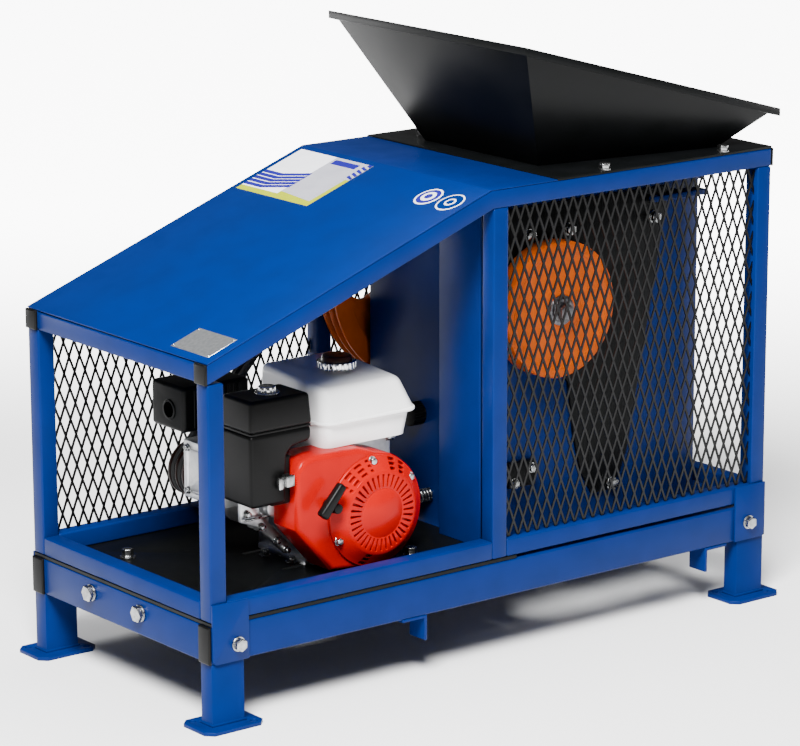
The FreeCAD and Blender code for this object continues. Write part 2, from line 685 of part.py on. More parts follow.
# ---------------------------------------------------------------- flywheels and drive


def make_rotor():
    """The shaft with the lobe that drives the swing jaw, and the plain flywheel."""
    shaft = rod("shaft bar", "shaft_x", "flywheel_near_y - shaft_end", "shaft_z",
                "shaft_radius", "rim_near_y + rim_width - flywheel_near_y + 2 * shaft_end",
                ALONG_Y)
    lobe = rod("shaft lobe", "shaft_x + lobe_throw",
               "inner_near_y + housing_depth + clear_gap", "shaft_z", "lobe_radius",
               "inner_width - 2 * housing_depth - 2 * clear_gap", ALONG_Y)
    keep(fuse("eccentric_shaft", shaft, lobe))
    keep(turned("flywheel_near", [
        ("shaft_radius", "0"), ("flywheel_radius - flywheel_edge", "0"),
        ("flywheel_radius", "flywheel_edge"), ("flywheel_radius", "flywheel_thick"),
        ("shaft_radius", "flywheel_thick"),
    ], "shaft_x", "flywheel_near_y", "shaft_z"))


def groove_points(radius, width):
    """The outline of a two-groove rim, from its near edge to its far edge."""
    points = [(radius, "0")]
    for sign in ("-", "+"):
        middle = "%s / 2 %s groove_pitch / 2" % (width, sign)
        floor = "%s - groove_depth" % radius
        points += [
            (radius, "%s - groove_top / 2" % middle), (floor, "%s - groove_floor / 2" % middle),
            (floor, "%s + groove_floor / 2" % middle), (radius, "%s + groove_top / 2" % middle),
        ]
    points.append((radius, width))
    return points


def make_driven_pulley():
    rim_inner = "driven_radius - rim_depth"
    near_web = "rim_width / 2 - web_thick / 2"
    far_web = "rim_width / 2 + web_thick / 2"
    keep(turned("driven_pulley", groove_points("driven_radius", "rim_width") + [
        (rim_inner, "rim_width"), (rim_inner, far_web), ("hub_radius", far_web),
        ("hub_radius", "rim_width"), ("shaft_radius", "rim_width"), ("shaft_radius", "0"),
        ("hub_radius", "0"), ("hub_radius", near_web), (rim_inner, near_web), (rim_inner, "0"),
    ], "shaft_x", "rim_near_y", "shaft_z", ("web_hole_ring", "web_hole_radius", "web_holes")))


def make_driver_pulley():
    """The small pulley with its output shaft."""
    wheel = turned("driver wheel", groove_points("driver_radius", "rim_width") + [
        ("driver_shaft_radius", "rim_width"), ("driver_shaft_radius", "0"),
    ], "driver_x", "rim_near_y", "driver_z")
    stub = rod("driver shaft", "driver_x", "case_far_y + seat_gap", "driver_z",
               "driver_shaft_radius", "rim_near_y + rim_width - case_far_y - seat_gap", ALONG_Y)
    keep(fuse("driver_pulley", wheel, stub))


def belt_loop(label, depth):
    """One endless belt: the band between two offsets of the line round both pulleys."""
    value = {name: sheet.get(name) for name in list(SIZES) + list(DERIVED)}
    centres = [FreeCAD.Vector(value["driver_x"], 0, value["driver_z"]),
               FreeCAD.Vector(value["shaft_x"], 0, value["shaft_z"])]
    floors = [value["driver_radius"] - value["groove_depth"] + value["belt_lift"],
              value["driven_radius"] - value["groove_depth"] + value["belt_lift"]]
    line = centres[1] - centres[0]
    along = FreeCAD.Vector(line).normalize()
    across = FreeCAD.Vector(0, 1, 0).cross(along)
    lean = (floors[0] - floors[1]) / line.Length
    rise = (1 - lean ** 2) ** 0.5

    def loop_face(extra):
        points = []
        for sign in (1, -1):
            normal = along * lean + across * (rise * sign)
            points.append([c + normal * (r + extra) for c, r in zip(centres, floors)])
        (upper_a, upper_b), (lower_a, lower_b) = points
        nose_a = centres[0] - along * (floors[0] + extra)
        nose_b = centres[1] + along * (floors[1] + extra)
        edges = [Part.LineSegment(upper_a, upper_b).toShape(),
                 Part.Arc(upper_b, nose_b, lower_b).toShape(),
                 Part.LineSegment(lower_b, lower_a).toShape(),
                 Part.Arc(lower_a, nose_a, upper_a).toShape()]
        return Part.Face(Part.Wire(edges))

    band = loop_face(value["belt_thick"]).cut(loop_face(0.0))
    solid = band.extrude(FreeCAD.Vector(0, value["belt_width"], 0))
    item = add("Part::Feature", label)
    item.Shape = solid
    item.Placement = FreeCAD.Placement(
        FreeCAD.Vector(-value["stand_length"] / 2,
                       depth - value["belt_width"] / 2 - value["stand_width"] / 2, 0),
        FreeCAD.Rotation())
    return item


def make_belts():
    middle = sheet.get("belt_y")
    half_pitch = sheet.get("groove_pitch") / 2
    keep(group("drive_belts", belt_loop("near belt", middle - half_pitch),
               belt_loop("far belt", middle + half_pitch)))


# ---------------------------------------------------------------- engine


def make_engine_block():
    keep(box("engine_block", "block_left_x", "fan_far_y", "rail_base_z",
             "block_right_x - block_left_x", "block_far_y - fan_far_y",
             "tank_low_z - rail_base_z"))
    case_left = rod("case left", "driver_x", "block_far_y", "driver_z", "case_radius",
                    "case_depth", ALONG_Y)
    case_right = rod("case right", "crank_x", "block_far_y", "crank_z", "case_radius",
                     "case_depth", ALONG_Y)
    case_middle = box("case middle", "driver_x", "block_far_y", "driver_z - case_radius",
                      "crank_x - driver_x", "case_depth", "2 * case_radius")
    keep(fuse("reduction_case", case_left, case_right, case_middle))


def make_engine_head():
    head = box("head cover", "head_left_x", "head_near_y", "head_low_z", "head_thick",
               "head_far_y - head_near_y", "head_high_z - head_low_z")
    barrel = box("barrel", "head_left_x + head_thick", "head_near_y + barrel_inset",
                 "head_low_z + barrel_inset", "block_left_x - head_left_x - head_thick",
                 "head_far_y - head_near_y - 2 * barrel_inset",
                 "head_high_z - head_low_z - 2 * barrel_inset")
    keep(fuse("engine_head", head, barrel))


def make_fan_cover():
    disc = rod("fan cover disc", "crank_x", "fan_near_y", "crank_z", "fan_radius",
               "fan_far_y - fan_near_y", ALONG_Y)
    wing = side_profile("fan cover wing", [
        ("crank_x - fan_wing", "crank_z - fan_wing_low"), ("crank_x", "crank_z - fan_radius"),
        ("crank_x", "crank_z + fan_radius"), ("cleaner_right_x + clear_gap", "crank_z + fan_radius"),
        ("cleaner_right_x + clear_gap", "cleaner_low_z"), ("crank_x - fan_wing", "cleaner_low_z"),
    ], "fan_near_y + fan_wing_inset", "fan_far_y - fan_near_y - fan_wing_inset")
    keep(fuse("fan_cover", disc, wing))
    keep(turned("recoil_starter", [
        ("0", "0"), ("recoil_radius - recoil_edge", "0"), ("recoil_radius", "recoil_edge"),
        ("recoil_radius", "recoil_depth"), ("0", "recoil_depth"),
    ], "crank_x", "recoil_near_y", "crank_z"))


def make_tank():
    step = "tank_seam_step"
    lower = side_profile("tank lower", [
        ("tank_left_x + %s" % step, "tank_low_z"), ("tank_right_x - 3 * %s" % step, "tank_low_z"),
        ("tank_right_x - 2 * %s" % step, "tank_seam_z"), ("tank_left_x + %s" % step, "tank_seam_z"),
    ], "tank_near_y + %s" % step, "tank_far_y - tank_near_y - 2 * %s" % step)
    upper = side_profile("tank upper", [
        ("tank_left_x", "tank_seam_z"), ("tank_right_x", "tank_seam_z"),
        ("tank_right_x", "tank_seam_z + %s" % step),
        ("tank_right_x - tank_slope_x", "tank_top_z"),
        ("tank_left_x + 2 * %s" % step, "tank_top_z"),
        ("tank_left_x", "tank_top_z - 2 * %s" % step),
    ], "tank_near_y", "tank_far_y - tank_near_y")
    keep(fuse("fuel_tank", lower, upper))
    keep(rod("fuel_cap", "cap_x", "cap_y", "tank_top_z", "cap_radius", "cap_height"))


def make_boxes():
    """The air cleaner's box, and the muffler on the elbow that carries it."""
    keep(box("air_cleaner", "cleaner_left_x", "cleaner_near_y", "cleaner_low_z",
             "cleaner_right_x - cleaner_left_x", "cleaner_far_y - cleaner_near_y",
             "cleaner_top_z - cleaner_low_z"))
    can = box("muffler can", "muffler_left_x", "muffler_near_y", "muffler_low_z",
              "muffler_right_x - muffler_left_x", "muffler_far_y - muffler_near_y",
              "muffler_top_z - muffler_low_z")
    outlet = rod("muffler outlet", "muffler_left_x", "(muffler_near_y + muffler_far_y) / 2",
                 "(muffler_low_z + muffler_top_z) / 2", "outlet_radius", "outlet_depth", ALONG_X)
    elbow = box("exhaust elbow", "elbow_x", "elbow_near_y", "muffler_low_z - elbow_rise",
                "elbow", "muffler_near_y + elbow - elbow_near_y", "elbow_rise")
    keep(fuse("muffler", cut("muffler body", can, outlet), elbow))


# ---------------------------------------------------------------- checks and export


def check(item):
    for state in ("Invalid", "Error"):
        if state in item.State:
            raise RuntimeError("%s is %s" % (item.Label, state))


def export():
    document.recompute()
    for item in document.Objects:
        check(item)
    os.makedirs("parts", exist_ok=True)
    for item in pieces:
        shape = item.Shape
        if shape.isNull() or not shape.isValid():
            raise RuntimeError("%s has no valid shape" % item.Label)
        low, high = shape.BoundBox, shape.Volume
        print("%-22s solids %d volume %9.0f  x %7.1f %7.1f  y %7.1f %7.1f  z %6.1f %6.1f" % (
            item.Label, len(shape.Solids), high, low.XMin, low.XMax, low.YMin, low.YMax,
            low.ZMin, low.ZMax))
    for item in pieces:
        item.Shape.exportStep("parts/%s.step" % item.Label)


write_sheet()
for make in (make_base_frame, make_legs, make_engine_plate, make_brackets, make_lower_rails,
             make_posts, make_top_rails, make_canopy, make_mesh_panels, make_corner_plates,
             make_end_caps, make_partition, make_hopper_flange, make_hopper, make_side_plates,
             make_cheek_plates, make_end_walls, make_jaws, make_tension_gear, make_rotor,
             make_driven_pulley, make_driver_pulley, make_belts, make_engine_block,
             make_engine_head, make_fan_cover, make_tank, make_boxes):
    make()
export()
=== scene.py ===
"""The looks of an engine-driven jaw crusher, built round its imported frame.

Lengths here are millimetres in the maker's stations: x from the engine end of the stand, y from
its near side and z from the floor. `spot` turns them into the frame's metres.
"""

import json
import logging
import math
from collections.abc import Callable, Iterable, Sequence
from dataclasses import dataclass
from enum import Enum
from functools import cache

import bmesh
import bpy
from mathutils import Matrix, Vector


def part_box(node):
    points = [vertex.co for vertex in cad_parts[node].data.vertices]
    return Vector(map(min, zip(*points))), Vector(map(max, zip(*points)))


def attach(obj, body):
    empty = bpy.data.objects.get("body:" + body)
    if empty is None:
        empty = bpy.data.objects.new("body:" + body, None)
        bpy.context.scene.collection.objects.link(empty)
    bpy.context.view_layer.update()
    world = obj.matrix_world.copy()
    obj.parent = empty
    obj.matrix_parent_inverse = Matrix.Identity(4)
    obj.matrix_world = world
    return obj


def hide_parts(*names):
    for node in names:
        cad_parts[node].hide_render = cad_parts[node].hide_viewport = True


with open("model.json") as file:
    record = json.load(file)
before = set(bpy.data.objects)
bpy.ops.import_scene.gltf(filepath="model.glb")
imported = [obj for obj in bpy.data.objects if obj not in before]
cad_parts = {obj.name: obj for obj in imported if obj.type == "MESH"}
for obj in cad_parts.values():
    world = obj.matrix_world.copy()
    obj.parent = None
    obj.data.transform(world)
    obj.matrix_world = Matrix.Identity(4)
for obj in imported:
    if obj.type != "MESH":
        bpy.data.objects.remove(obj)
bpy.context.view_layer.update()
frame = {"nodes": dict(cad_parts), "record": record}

log = logging.getLogger("jaw_crusher")
Triple = tuple[float, float, float]
Pair = tuple[float, float]
Box = tuple[Triple, Triple]
FaceRule = Callable[[bmesh.types.BMFace], bool]
EdgeRule = Callable[[bmesh.types.BMEdge], bool]

# The stand's outline: its length and width, and the side of its square tube.
STAND_LENGTH = 1150.0
STAND_WIDTH = 500.0
TUBE = 30.0
# The side rails' top: its height at the engine end, its level height and the station of the bend.
CANOPY_LOW = 577.0
DECK = 776.0
BEND = 548.0
SLOPE = (DECK - CANOPY_LOW) / BEND
STRETCH = math.sqrt(1 + SLOPE**2)
# How far the sheets' top faces lie over the rails, on the slope and on the level.
CANOPY_SKIN = 2.2
DECK_SKIN = 2.0
# The heights of the engine plate's top face and of the hopper flange's.
PLATE_TOP = 171.0
FLANGE_TOP = 780.0


class Body(Enum):
    """The rigid bodies that pieces ride on."""

    STAND = "stand"
    ROTOR = "crusher_rotor"
    DRIVE = "drive_pulley"


class Axis(Enum):
    """The way a round piece or a bolt points."""

    X = "x"
    Y = "y"
    Z = "z"


def spot(x: float, y: float, z: float) -> Vector:
    """Turns maker's stations in millimetres into the frame's metres.

    Args:
        x: Distance from the engine end.
        y: Distance from the near side.
        z: Height above the floor.

    Returns:
        The point in the frame.
    """
    return Vector((x - STAND_LENGTH / 2, y - STAND_WIDTH / 2, z)) / 1000


def slope_height(x: float) -> float:
    """Returns the height of the canopy's top face at a station."""
    return CANOPY_LOW + CANOPY_SKIN + SLOPE * x if x < BEND else DECK + DECK_SKIN


# ---------------------------------------------------------------- finishes


def linear(colour: str) -> tuple[float, float, float, float]:
    """Turns an sRGB hex colour into linear red, green and blue.

    Args:
        colour: Six hex digits after a hash sign.

    Returns:
        The linear colour, fully opaque.
    """
    parts = [int(colour[i : i + 2], 16) / 255 for i in (1, 3, 5)]
    r, g, b = (c / 12.92 if c <= 0.04045 else ((c + 0.055) / 1.055) ** 2.4 for c in parts)
    return (r, g, b, 1.0)


def add_node(
    material: bpy.types.Material,
    kind: str,
    inputs: dict[str | int, object] | None = None,
    **settings: object,
) -> bpy.types.Node:
    """Adds one shader node with its settings, values and links.

    Args:
        material: The material whose tree gets the node.
        kind: The node's type name.
        inputs: For each input, a value or an output socket to link from.
        settings: Properties of the node itself.

    Returns:
        The new node.
    """
    tree = material.node_tree
    node = tree.nodes.new(kind)
    for name, value in settings.items():
        setattr(node, name, value)
    for name, value in (inputs or {}).items():
        if isinstance(value, bpy.types.NodeSocket):
            tree.links.new(value, node.inputs[name])
        else:
            node.inputs[name].default_value = value
    return node


@dataclass(frozen=True)
class Finish:
    """A surface finish: its two close colours, its gloss and the texture that the making left.

    `mottle` and `grain` are widths in millimetres. `spread` is how far the roughness varies, as a
    share of itself.
    """

    name: str
    colour: str
    second: str
    roughness: float
    metallic: float = 0.0
    ior: float = 1.5
    specular: float = 0.5
    coat: float = 0.0
    coat_roughness: float = 0.08
    mottle: float = 60.0
    grain: float = 1.5
    bump: float = 0.05
    spread: float = 0.10
    stretch: Triple = (1.0, 1.0, 1.0)

    def material(self) -> bpy.types.Material:
        """Builds the material once, and gives the same one when it is asked for again.

        Returns:
            The material, with its pattern on Object coordinates.
        """
        made = bpy.data.materials.get(self.name)
        if made:
            return made
        made = bpy.data.materials.new(self.name)
        made.use_nodes = True
        made.node_tree.nodes.clear()
        place = add_node(made, "ShaderNodeTexCoord")
        drawn = add_node(
            made, "ShaderNodeMapping", {"Vector": place.outputs["Object"], "Scale": self.stretch}
        )
        mottle = add_node(
            made,
            "ShaderNodeTexNoise",
            {"Vector": drawn.outputs[0], "Scale": 1000 / self.mottle, "Detail": 4.0},
        )
        grain = add_node(
            made,
            "ShaderNodeTexNoise",
            {"Vector": drawn.outputs[0], "Scale": 1000 / self.grain, "Detail": 2.0},
        )
        tone = add_node(
            made,
            "ShaderNodeMapRange",
            {"Value": mottle.outputs["Fac"], "From Min": 0.35, "From Max": 0.65},
        )
        mix = add_node(
            made,
            "ShaderNodeMix",
            {0: tone.outputs[0], 6: linear(self.colour), 7: linear(self.second)},
            data_type="RGBA",
        )
        gloss = add_node(
            made,
            "ShaderNodeMapRange",
            {
                "Value": mottle.outputs["Fac"],
                "From Min": 0.3,
                "From Max": 0.7,
                "To Min": max(0.02, self.roughness * (1 - self.spread)),
                "To Max": min(1.0, self.roughness * (1 + self.spread)),
            },
        )
        relief = add_node(
            made,
            "ShaderNodeBump",
            {"Height": grain.outputs["Fac"], "Strength": self.bump, "Distance": 0.0004},
        )
        values: dict[str | int, object] = {
            "Base Color": mix.outputs[2],
            "Roughness": gloss.outputs[0],
            "Metallic": self.metallic,
            "Normal": relief.outputs[0],
        }
        if not self.metallic:
            values["IOR"] = self.ior
            values["Specular IOR Level"] = self.specular
        if self.coat:
            values["Coat Weight"] = self.coat
            values["Coat Roughness"] = self.coat_roughness
        shader = add_node(made, "ShaderNodeBsdfPrincipled", values)
        add_node(made, "ShaderNodeOutputMaterial", {"Surface": shader.outputs[0]})
        return made


# Powder-coated steel: an even, rich blue skin with a slight orange-peel ripple in its shine.
BLUE_ENAMEL = Finish(
    "powder_coated_steel_blue", "#001b54", "#00194e", 0.34, specular=0.08, bump=0.04, grain=2.2
)
# Baked enamel on sheet steel: black, with a soft broad shine.
BLACK_ENAMEL = Finish(
    "enamelled_steel_black", "#060707", "#08090a", 0.36, specular=0.08, bump=0.015, grain=2.0
)
# Expanded metal dipped black: the strands catch only a thin glint.
BLACK_MESH = Finish("dipped_expanded_metal", "#030303", "#050506", 0.42, specular=0.2, bump=0.08)
# Brushed-on enamel over a turned casting: warm orange with faint turning rings.
ORANGE_ENAMEL = Finish(
    "enamelled_cast_iron_orange", "#b04a00", "#a24300", 0.34, specular=0.12, mottle=40, bump=0.10
)
# Stoved enamel on pressed steel: a deep, wet-looking red.
RED_ENAMEL = Finish(
    "enamelled_pressed_steel_red", "#9c0001", "#930001", 0.2, specular=0.08, bump=0.01
)
# The same enamel in white, on the tank.
WHITE_ENAMEL = Finish(
    "enamelled_pressed_steel_white", "#fbfbfa", "#f6f6f5", 0.16, coat=0.3, bump=0.01
)
# Moulded polypropylene: dark, with a fine spark-eroded grain that breaks the shine.
BLACK_PLASTIC = Finish(
    "moulded_polypropylene_black", "#050505", "#080808", 0.42, ior=1.49, specular=0.12, grain=0.8,
    bump=0.12,
)
# Zinc-plated steel fasteners: pale grey with a soft bright shine.
ZINC = Finish(
    "zinc_plated_steel", "#a6a7a8", "#8f908f", 0.26, metallic=1.0, mottle=8, spread=0.25
)
# Chromed steel: nearly a mirror.
CHROME = Finish("chromed_steel", "#dcdddd", "#d2d3d4", 0.10, metallic=1.0, mottle=20, bump=0.01)
# Die-cast aluminium: matt silver with the die's fine texture.
CAST_ALLOY = Finish(
    "die_cast_aluminium", "#dcdddd", "#c9cacb", 0.38, metallic=1.0, mottle=14, grain=1.0, bump=0.22
)
# Turned steel: darker, with rings round the shaft.
TURNED_STEEL = Finish(
    "turned_steel", "#77777a", "#626266", 0.30, metallic=1.0, mottle=10, grain=0.7, bump=0.14
)
# Cast manganese steel: rough, brown-grey, worn a little brighter in patches.
JAW_STEEL = Finish(
    "cast_manganese_steel", "#4b4744", "#5f5a55", 0.55, metallic=0.85, mottle=24, bump=0.4,
    grain=2.5, spread=0.2,
)
# Drive-belt rubber: dull black.
RUBBER = Finish(
    "belt_rubber", "#080808", "#0d0d0d", 0.72, ior=1.52, specular=0.3, grain=1.2, bump=0.2
)
# Cast iron in dark red-brown, a little rough: the belt wheels' orange darkened with painted shade, as
# the drive pulley looks in the engine's shadow.
PAINTED_SHADE_BROWN = Finish(
    "cast_iron_painted_shade_brown", "#2a0f06", "#200b04", 0.34, specular=0.3, mottle=16, grain=1.4, bump=0.2
)
# Printed vinyl film: flat, even colours with a soft shine.
PALE_VINYL = Finish("vinyl_pale_grey", "#93939b", "#8d8d96", 0.35, specular=0.1, mottle=30, bump=0.01)
YELLOW_VINYL = Finish("vinyl_yellow", "#929a00", "#8c9400", 0.35, specular=0.1, mottle=30, bump=0.01)
VIOLET_VINYL = Finish("vinyl_violet", "#1d1870", "#1a1566", 0.35, specular=0.1, mottle=30, bump=0.01)
WHITE_VINYL = Finish("vinyl_white", "#d4d5d9", "#cdced3", 0.35, specular=0.1, mottle=30, bump=0.01)
# Etched aluminium plate: dull silver with a fine tooth.
ETCHED_ALLOY = Finish(
    "etched_aluminium_plate", "#b4b6b8", "#9c9fa2", 0.36, metallic=0.9, mottle=6, bump=0.05
)


def dress(piece: bpy.types.Object, finish: Finish) -> None:
    """Gives a piece one finish all over."""
    piece.data.materials.clear()
    piece.data.materials.append(finish.material())


# ---------------------------------------------------------------- workshop


def deselect() -> None:
    """Leaves edit mode and deselects everything."""
    if bpy.context.object and bpy.context.object.mode != "OBJECT":
        bpy.ops.object.mode_set(mode="OBJECT")
    bpy.ops.object.select_all(action="DESELECT")


def take(piece: bpy.types.Object) -> bpy.types.Object:
    """Makes a piece the only one selected, and the active one.

    Args:
        piece: The piece to work on next.

    Returns:
        The same piece.
    """
    deselect()
    piece.select_set(True)
    bpy.context.view_layer.objects.active = piece
    return piece


def settle(piece: bpy.types.Object, name: str) -> bpy.types.Object:
    """Names a piece and puts its place and size into its mesh.

    Args:
        piece: The piece, where it was added.
        name: Its name.

    Returns:
        The same piece, with its object at the origin.
    """
    take(piece)
    bpy.ops.object.transform_apply(location=True, rotation=True, scale=True)
    piece.name = name
    piece.data.name = name
    return piece


def bar(name: str, low: Vector, high: Vector) -> bpy.types.Object:
    """Starts a piece from a cube between two corners of the frame.

    Args:
        name: The piece's name.
        low: The lowest corner, in metres.
        high: The highest corner.

    Returns:
        The new piece.
    """
    deselect()
    bpy.ops.mesh.primitive_cube_add(size=1, location=(low + high) / 2)
    bpy.context.object.scale = high - low
    return settle(bpy.context.object, name)


def block(name: str, low: Triple, high: Triple) -> bpy.types.Object:
    """Starts a piece from a cube between two corners in maker's stations."""
    return bar(name, spot(*low), spot(*high))


def disc(
    name: str,
    centre: Triple,
    radius: float,
    length: float,
    axis: Axis = Axis.Z,
    sides: int = 48,
    tip: float | None = None,
) -> bpy.types.Object:
    """Starts a round piece from a cylinder or cone whose foot is at a point.

    Args:
        name: The piece's name.
        centre: The middle of the foot, in maker's stations.
        radius: The foot's radius.
        length: How far it reaches along its axis.
        axis: The way it points.
        sides: How many sides it has.
        tip: The other end's radius, if it tapers.

    Returns:
        The new piece.
    """
    deselect()
    turn = {Axis.X: (0, math.pi / 2, 0), Axis.Y: (-math.pi / 2, 0, 0), Axis.Z: (0, 0, 0)}[axis]
    way = {Axis.X: Vector((1, 0, 0)), Axis.Y: Vector((0, 1, 0)), Axis.Z: Vector((0, 0, 1))}[axis]
    bpy.ops.mesh.primitive_cone_add(
        vertices=sides,
        radius1=radius / 1000,
        radius2=(radius if tip is None else tip) / 1000,
        depth=abs(length) / 1000,
        end_fill_type="NGON",
        location=spot(*centre) + way * length / 2000,
        rotation=turn,
    )
    return settle(bpy.context.object, name)


def pull(way: Triple) -> None:
    """Extrudes the mesh in hand, turns its faces outwards and leaves edit mode.

    Args:
        way: How far and which way, in metres.
    """
    bpy.ops.mesh.select_all(action="SELECT")
    bpy.ops.mesh.extrude_region_move(TRANSFORM_OT_translate={"value": way})
    bpy.ops.mesh.select_all(action="SELECT")
    bpy.ops.mesh.normals_make_consistent(inside=False)
    leave()


def plate(name: str, corners: Sequence[Vector], way: Triple) -> bpy.types.Object:
    """Makes a plate or block from the corners of one face, pulled one way.

    Args:
        name: The piece's name.
        corners: The corners in order, in the frame.
        way: How far and which way it is pulled, in metres.

    Returns:
        The new piece.
    """
    deselect()
    bpy.ops.mesh.primitive_circle_add(vertices=len(corners), fill_type="NGON")
    piece = bpy.context.object
    for vertex, corner in zip(piece.data.vertices, corners):
        vertex.co = corner
    bpy.ops.object.mode_set(mode="EDIT")
    pull(way)
    piece.name = name
    piece.data.name = name
    return piece


def profile(name: str, outline: Sequence[Pair], near: float, far: float) -> bpy.types.Object:
    """Makes a plate from stations and heights round its side, between two depths."""
    return plate(name, [spot(x, near, z) for x, z in outline], (0, (far - near) / 1000, 0))


def pick(
    piece: bpy.types.Object, faces: FaceRule | None = None, edges: EdgeRule | None = None
) -> None:
    """Enters edit mode and selects the faces or edges that a rule accepts.

    Args:
        piece: The piece to work on.
        faces: The rule for faces, if faces are wanted.
        edges: The rule for edges, if edges are wanted.
    """
    take(piece)
    bpy.ops.object.mode_set(mode="EDIT")
    bpy.ops.mesh.select_mode(type="FACE" if faces else "EDGE")
    bpy.ops.mesh.select_all(action="DESELECT")
    mesh = bmesh.from_edit_mesh(piece.data)
    for part in mesh.faces if faces else mesh.edges:
        if (faces or edges)(part):
            part.select_set(True)
    bmesh.update_edit_mesh(piece.data)


def facing(way: Triple) -> FaceRule:
    """Makes a rule that accepts faces that look one way."""
    return lambda face: face.normal.dot(Vector(way)) >= 0.9


def every_other(axis: Axis, step: float) -> FaceRule:
    """Makes a rule that accepts every other side face round an axis.

    Args:
        axis: The axis that the sides go round.
        step: How many degrees each face takes up.

    Returns:
        The rule.
    """
    along = "xyz".index(axis.value)
    first, second = (along + 1) % 3, (along + 2) % 3

    def rule(face: bmesh.types.BMFace) -> bool:
        """Accepts a side face whose turn about the axis is in an even step."""
        turn = math.degrees(math.atan2(face.normal[second], face.normal[first])) % 360
        return abs(face.normal[along]) < 0.5 and int(turn // step) % 2 == 0

    return rule


def span(edge: bmesh.types.BMEdge, axis: Axis) -> float:
    """Returns how far an edge reaches along an axis, in metres."""
    along = "xyz".index(axis.value)
    return abs(edge.verts[0].co[along] - edge.verts[1].co[along])


def inset(thickness: float, depth: float = 0.0) -> None:
    """Insets the selected faces, and raises or sinks them, in millimetres."""
    bpy.ops.mesh.inset(thickness=thickness / 1000, depth=depth / 1000, use_boundary=True)


def bevel_selected(width: float, segments: int = 3) -> None:
    """Rounds the selected edges, in millimetres."""
    bpy.ops.mesh.bevel(offset=width / 1000, segments=segments, affect="EDGES", clamp_overlap=True)


def leave() -> None:
    """Leaves edit mode."""
    bpy.ops.object.mode_set(mode="OBJECT")


def round_off(piece: bpy.types.Object, width: float, segments: int = 2, angle: float = 30.0) -> None:
    """Rounds a piece's sharp edges with a modifier and smooths its shading.

    Args:
        piece: The piece to finish.
        width: The rounding's width in millimetres.
        segments: How many steps it has.
        angle: The sharpest edge that stays, in degrees.
    """
    take(piece)
    bevel = piece.modifiers.new("edges", "BEVEL")
    bevel.width = width / 1000
    bevel.segments = segments
    bevel.limit_method = "ANGLE"
    bevel.angle_limit = math.radians(angle)
    bpy.ops.object.modifier_apply(modifier=bevel.name)
    bpy.ops.object.shade_smooth_by_angle(angle=math.radians(35))


def weld(name: str, pieces: Iterable[bpy.types.Object]) -> bpy.types.Object:
    """Joins pieces into one that keeps each part's finish.

    Args:
        name: The name of the whole.
        pieces: The pieces to join.

    Returns:
        The whole.
    """
    listed = list(pieces)
    deselect()
    for piece in listed:
        piece.select_set(True)
    bpy.context.view_layer.objects.active = listed[0]
    if len(listed) > 1:
        bpy.ops.object.join()
    listed[0].name = name
    listed[0].data.name = name
    return listed[0]


def cut_away(piece: bpy.types.Object, cutter: bpy.types.Object) -> None:
    """Cuts one piece's shape out of another and removes the cutter.

    Args:
        piece: The piece that is cut.
        cutter: The closed shape that is taken out of it.
    """
    take(piece)
    tool = piece.modifiers.new("cut", "BOOLEAN")
    tool.operation = "DIFFERENCE"
    tool.solver = "EXACT"
    tool.object = cutter
    bpy.ops.object.modifier_apply(modifier=tool.name)
    bpy.data.objects.remove(cutter, do_unlink=True)


def repeat(piece: bpy.types.Object, count: int, step: Triple) -> None:
    """Repeats a piece along a line.

    Args:
        piece: The piece to repeat.
        count: How many there are in all.
        step: The way from each to the next, in millimetres.
    """
    take(piece)
    row = piece.modifiers.new("row", "ARRAY")
    row.use_relative_offset = False
    row.use_constant_offset = True
    row.constant_offset_displace = Vector(step) / 1000
    row.count = count
    bpy.ops.object.modifier_apply(modifier=row.name)


def fit(
    piece: bpy.types.Object,
    body: Body,
    finish: Finish | None = None,
    stands_for: Sequence[str] = (),
) -> bpy.types.Object:
    """Puts a finished piece on its body.

    Args:
        piece: The piece.
        body: The body that it rides on.
        finish: Its finish, unless it already has its own.
        stands_for: The frame's nodes that it is shown instead of.

    Returns:
        The piece.
    """
    if finish:
        dress(piece, finish)
    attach(piece, body.value)
    if stands_for:
        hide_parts(*stands_for)
    log.info("%s: %d faces", piece.name, len(piece.data.polygons))
    return piece


def islands(node: str) -> list[tuple[Vector, Vector]]:
    """Finds the box round each separate solid of a frame node.

    Args:
        node: The node's name.

    Returns:
        The lowest and highest corner of each, in the frame, in the order of the node's faces.
    """
    mesh = bmesh.new()
    mesh.from_mesh(frame["nodes"][node].data)
    bmesh.ops.remove_doubles(mesh, verts=mesh.verts, dist=1e-5)
    boxes, done = [], set()
    for first in mesh.faces:
        if first in done:
            continue
        group, border = set(), [first]
        while border:
            face = border.pop()
            if face in group:
                continue
            group.add(face)
            for edge in face.edges:
                if len(edge.link_faces) == 2:
                    border.extend(edge.link_faces)
        done |= group
        points = [v.co for face in group for v in face.verts]
        low = Vector([min(p[i] for p in points) for i in range(3)])
        high = Vector([max(p[i] for p in points) for i in range(3)])
        boxes.append((low, high))
    mesh.free()
    return boxes


def copy_of(node: str, name: str) -> bpy.types.Object:
    """Makes a merged copy of a frame node's mesh, ready to be finished.

    Args:
        node: The node's name.
        name: The copy's name.

    Returns:
        The copy, whose flat faces are whole again.
    """
    piece = bpy.data.objects.new(name, frame["nodes"][node].data.copy())
    bpy.context.scene.collection.objects.link(piece)
    take(piece)
    bpy.ops.object.mode_set(mode="EDIT")
    bpy.ops.mesh.select_all(action="SELECT")
    bpy.ops.mesh.remove_doubles(threshold=1e-5)
    bpy.ops.mesh.dissolve_limited(angle_limit=math.radians(0.5))
    leave()
    return piece


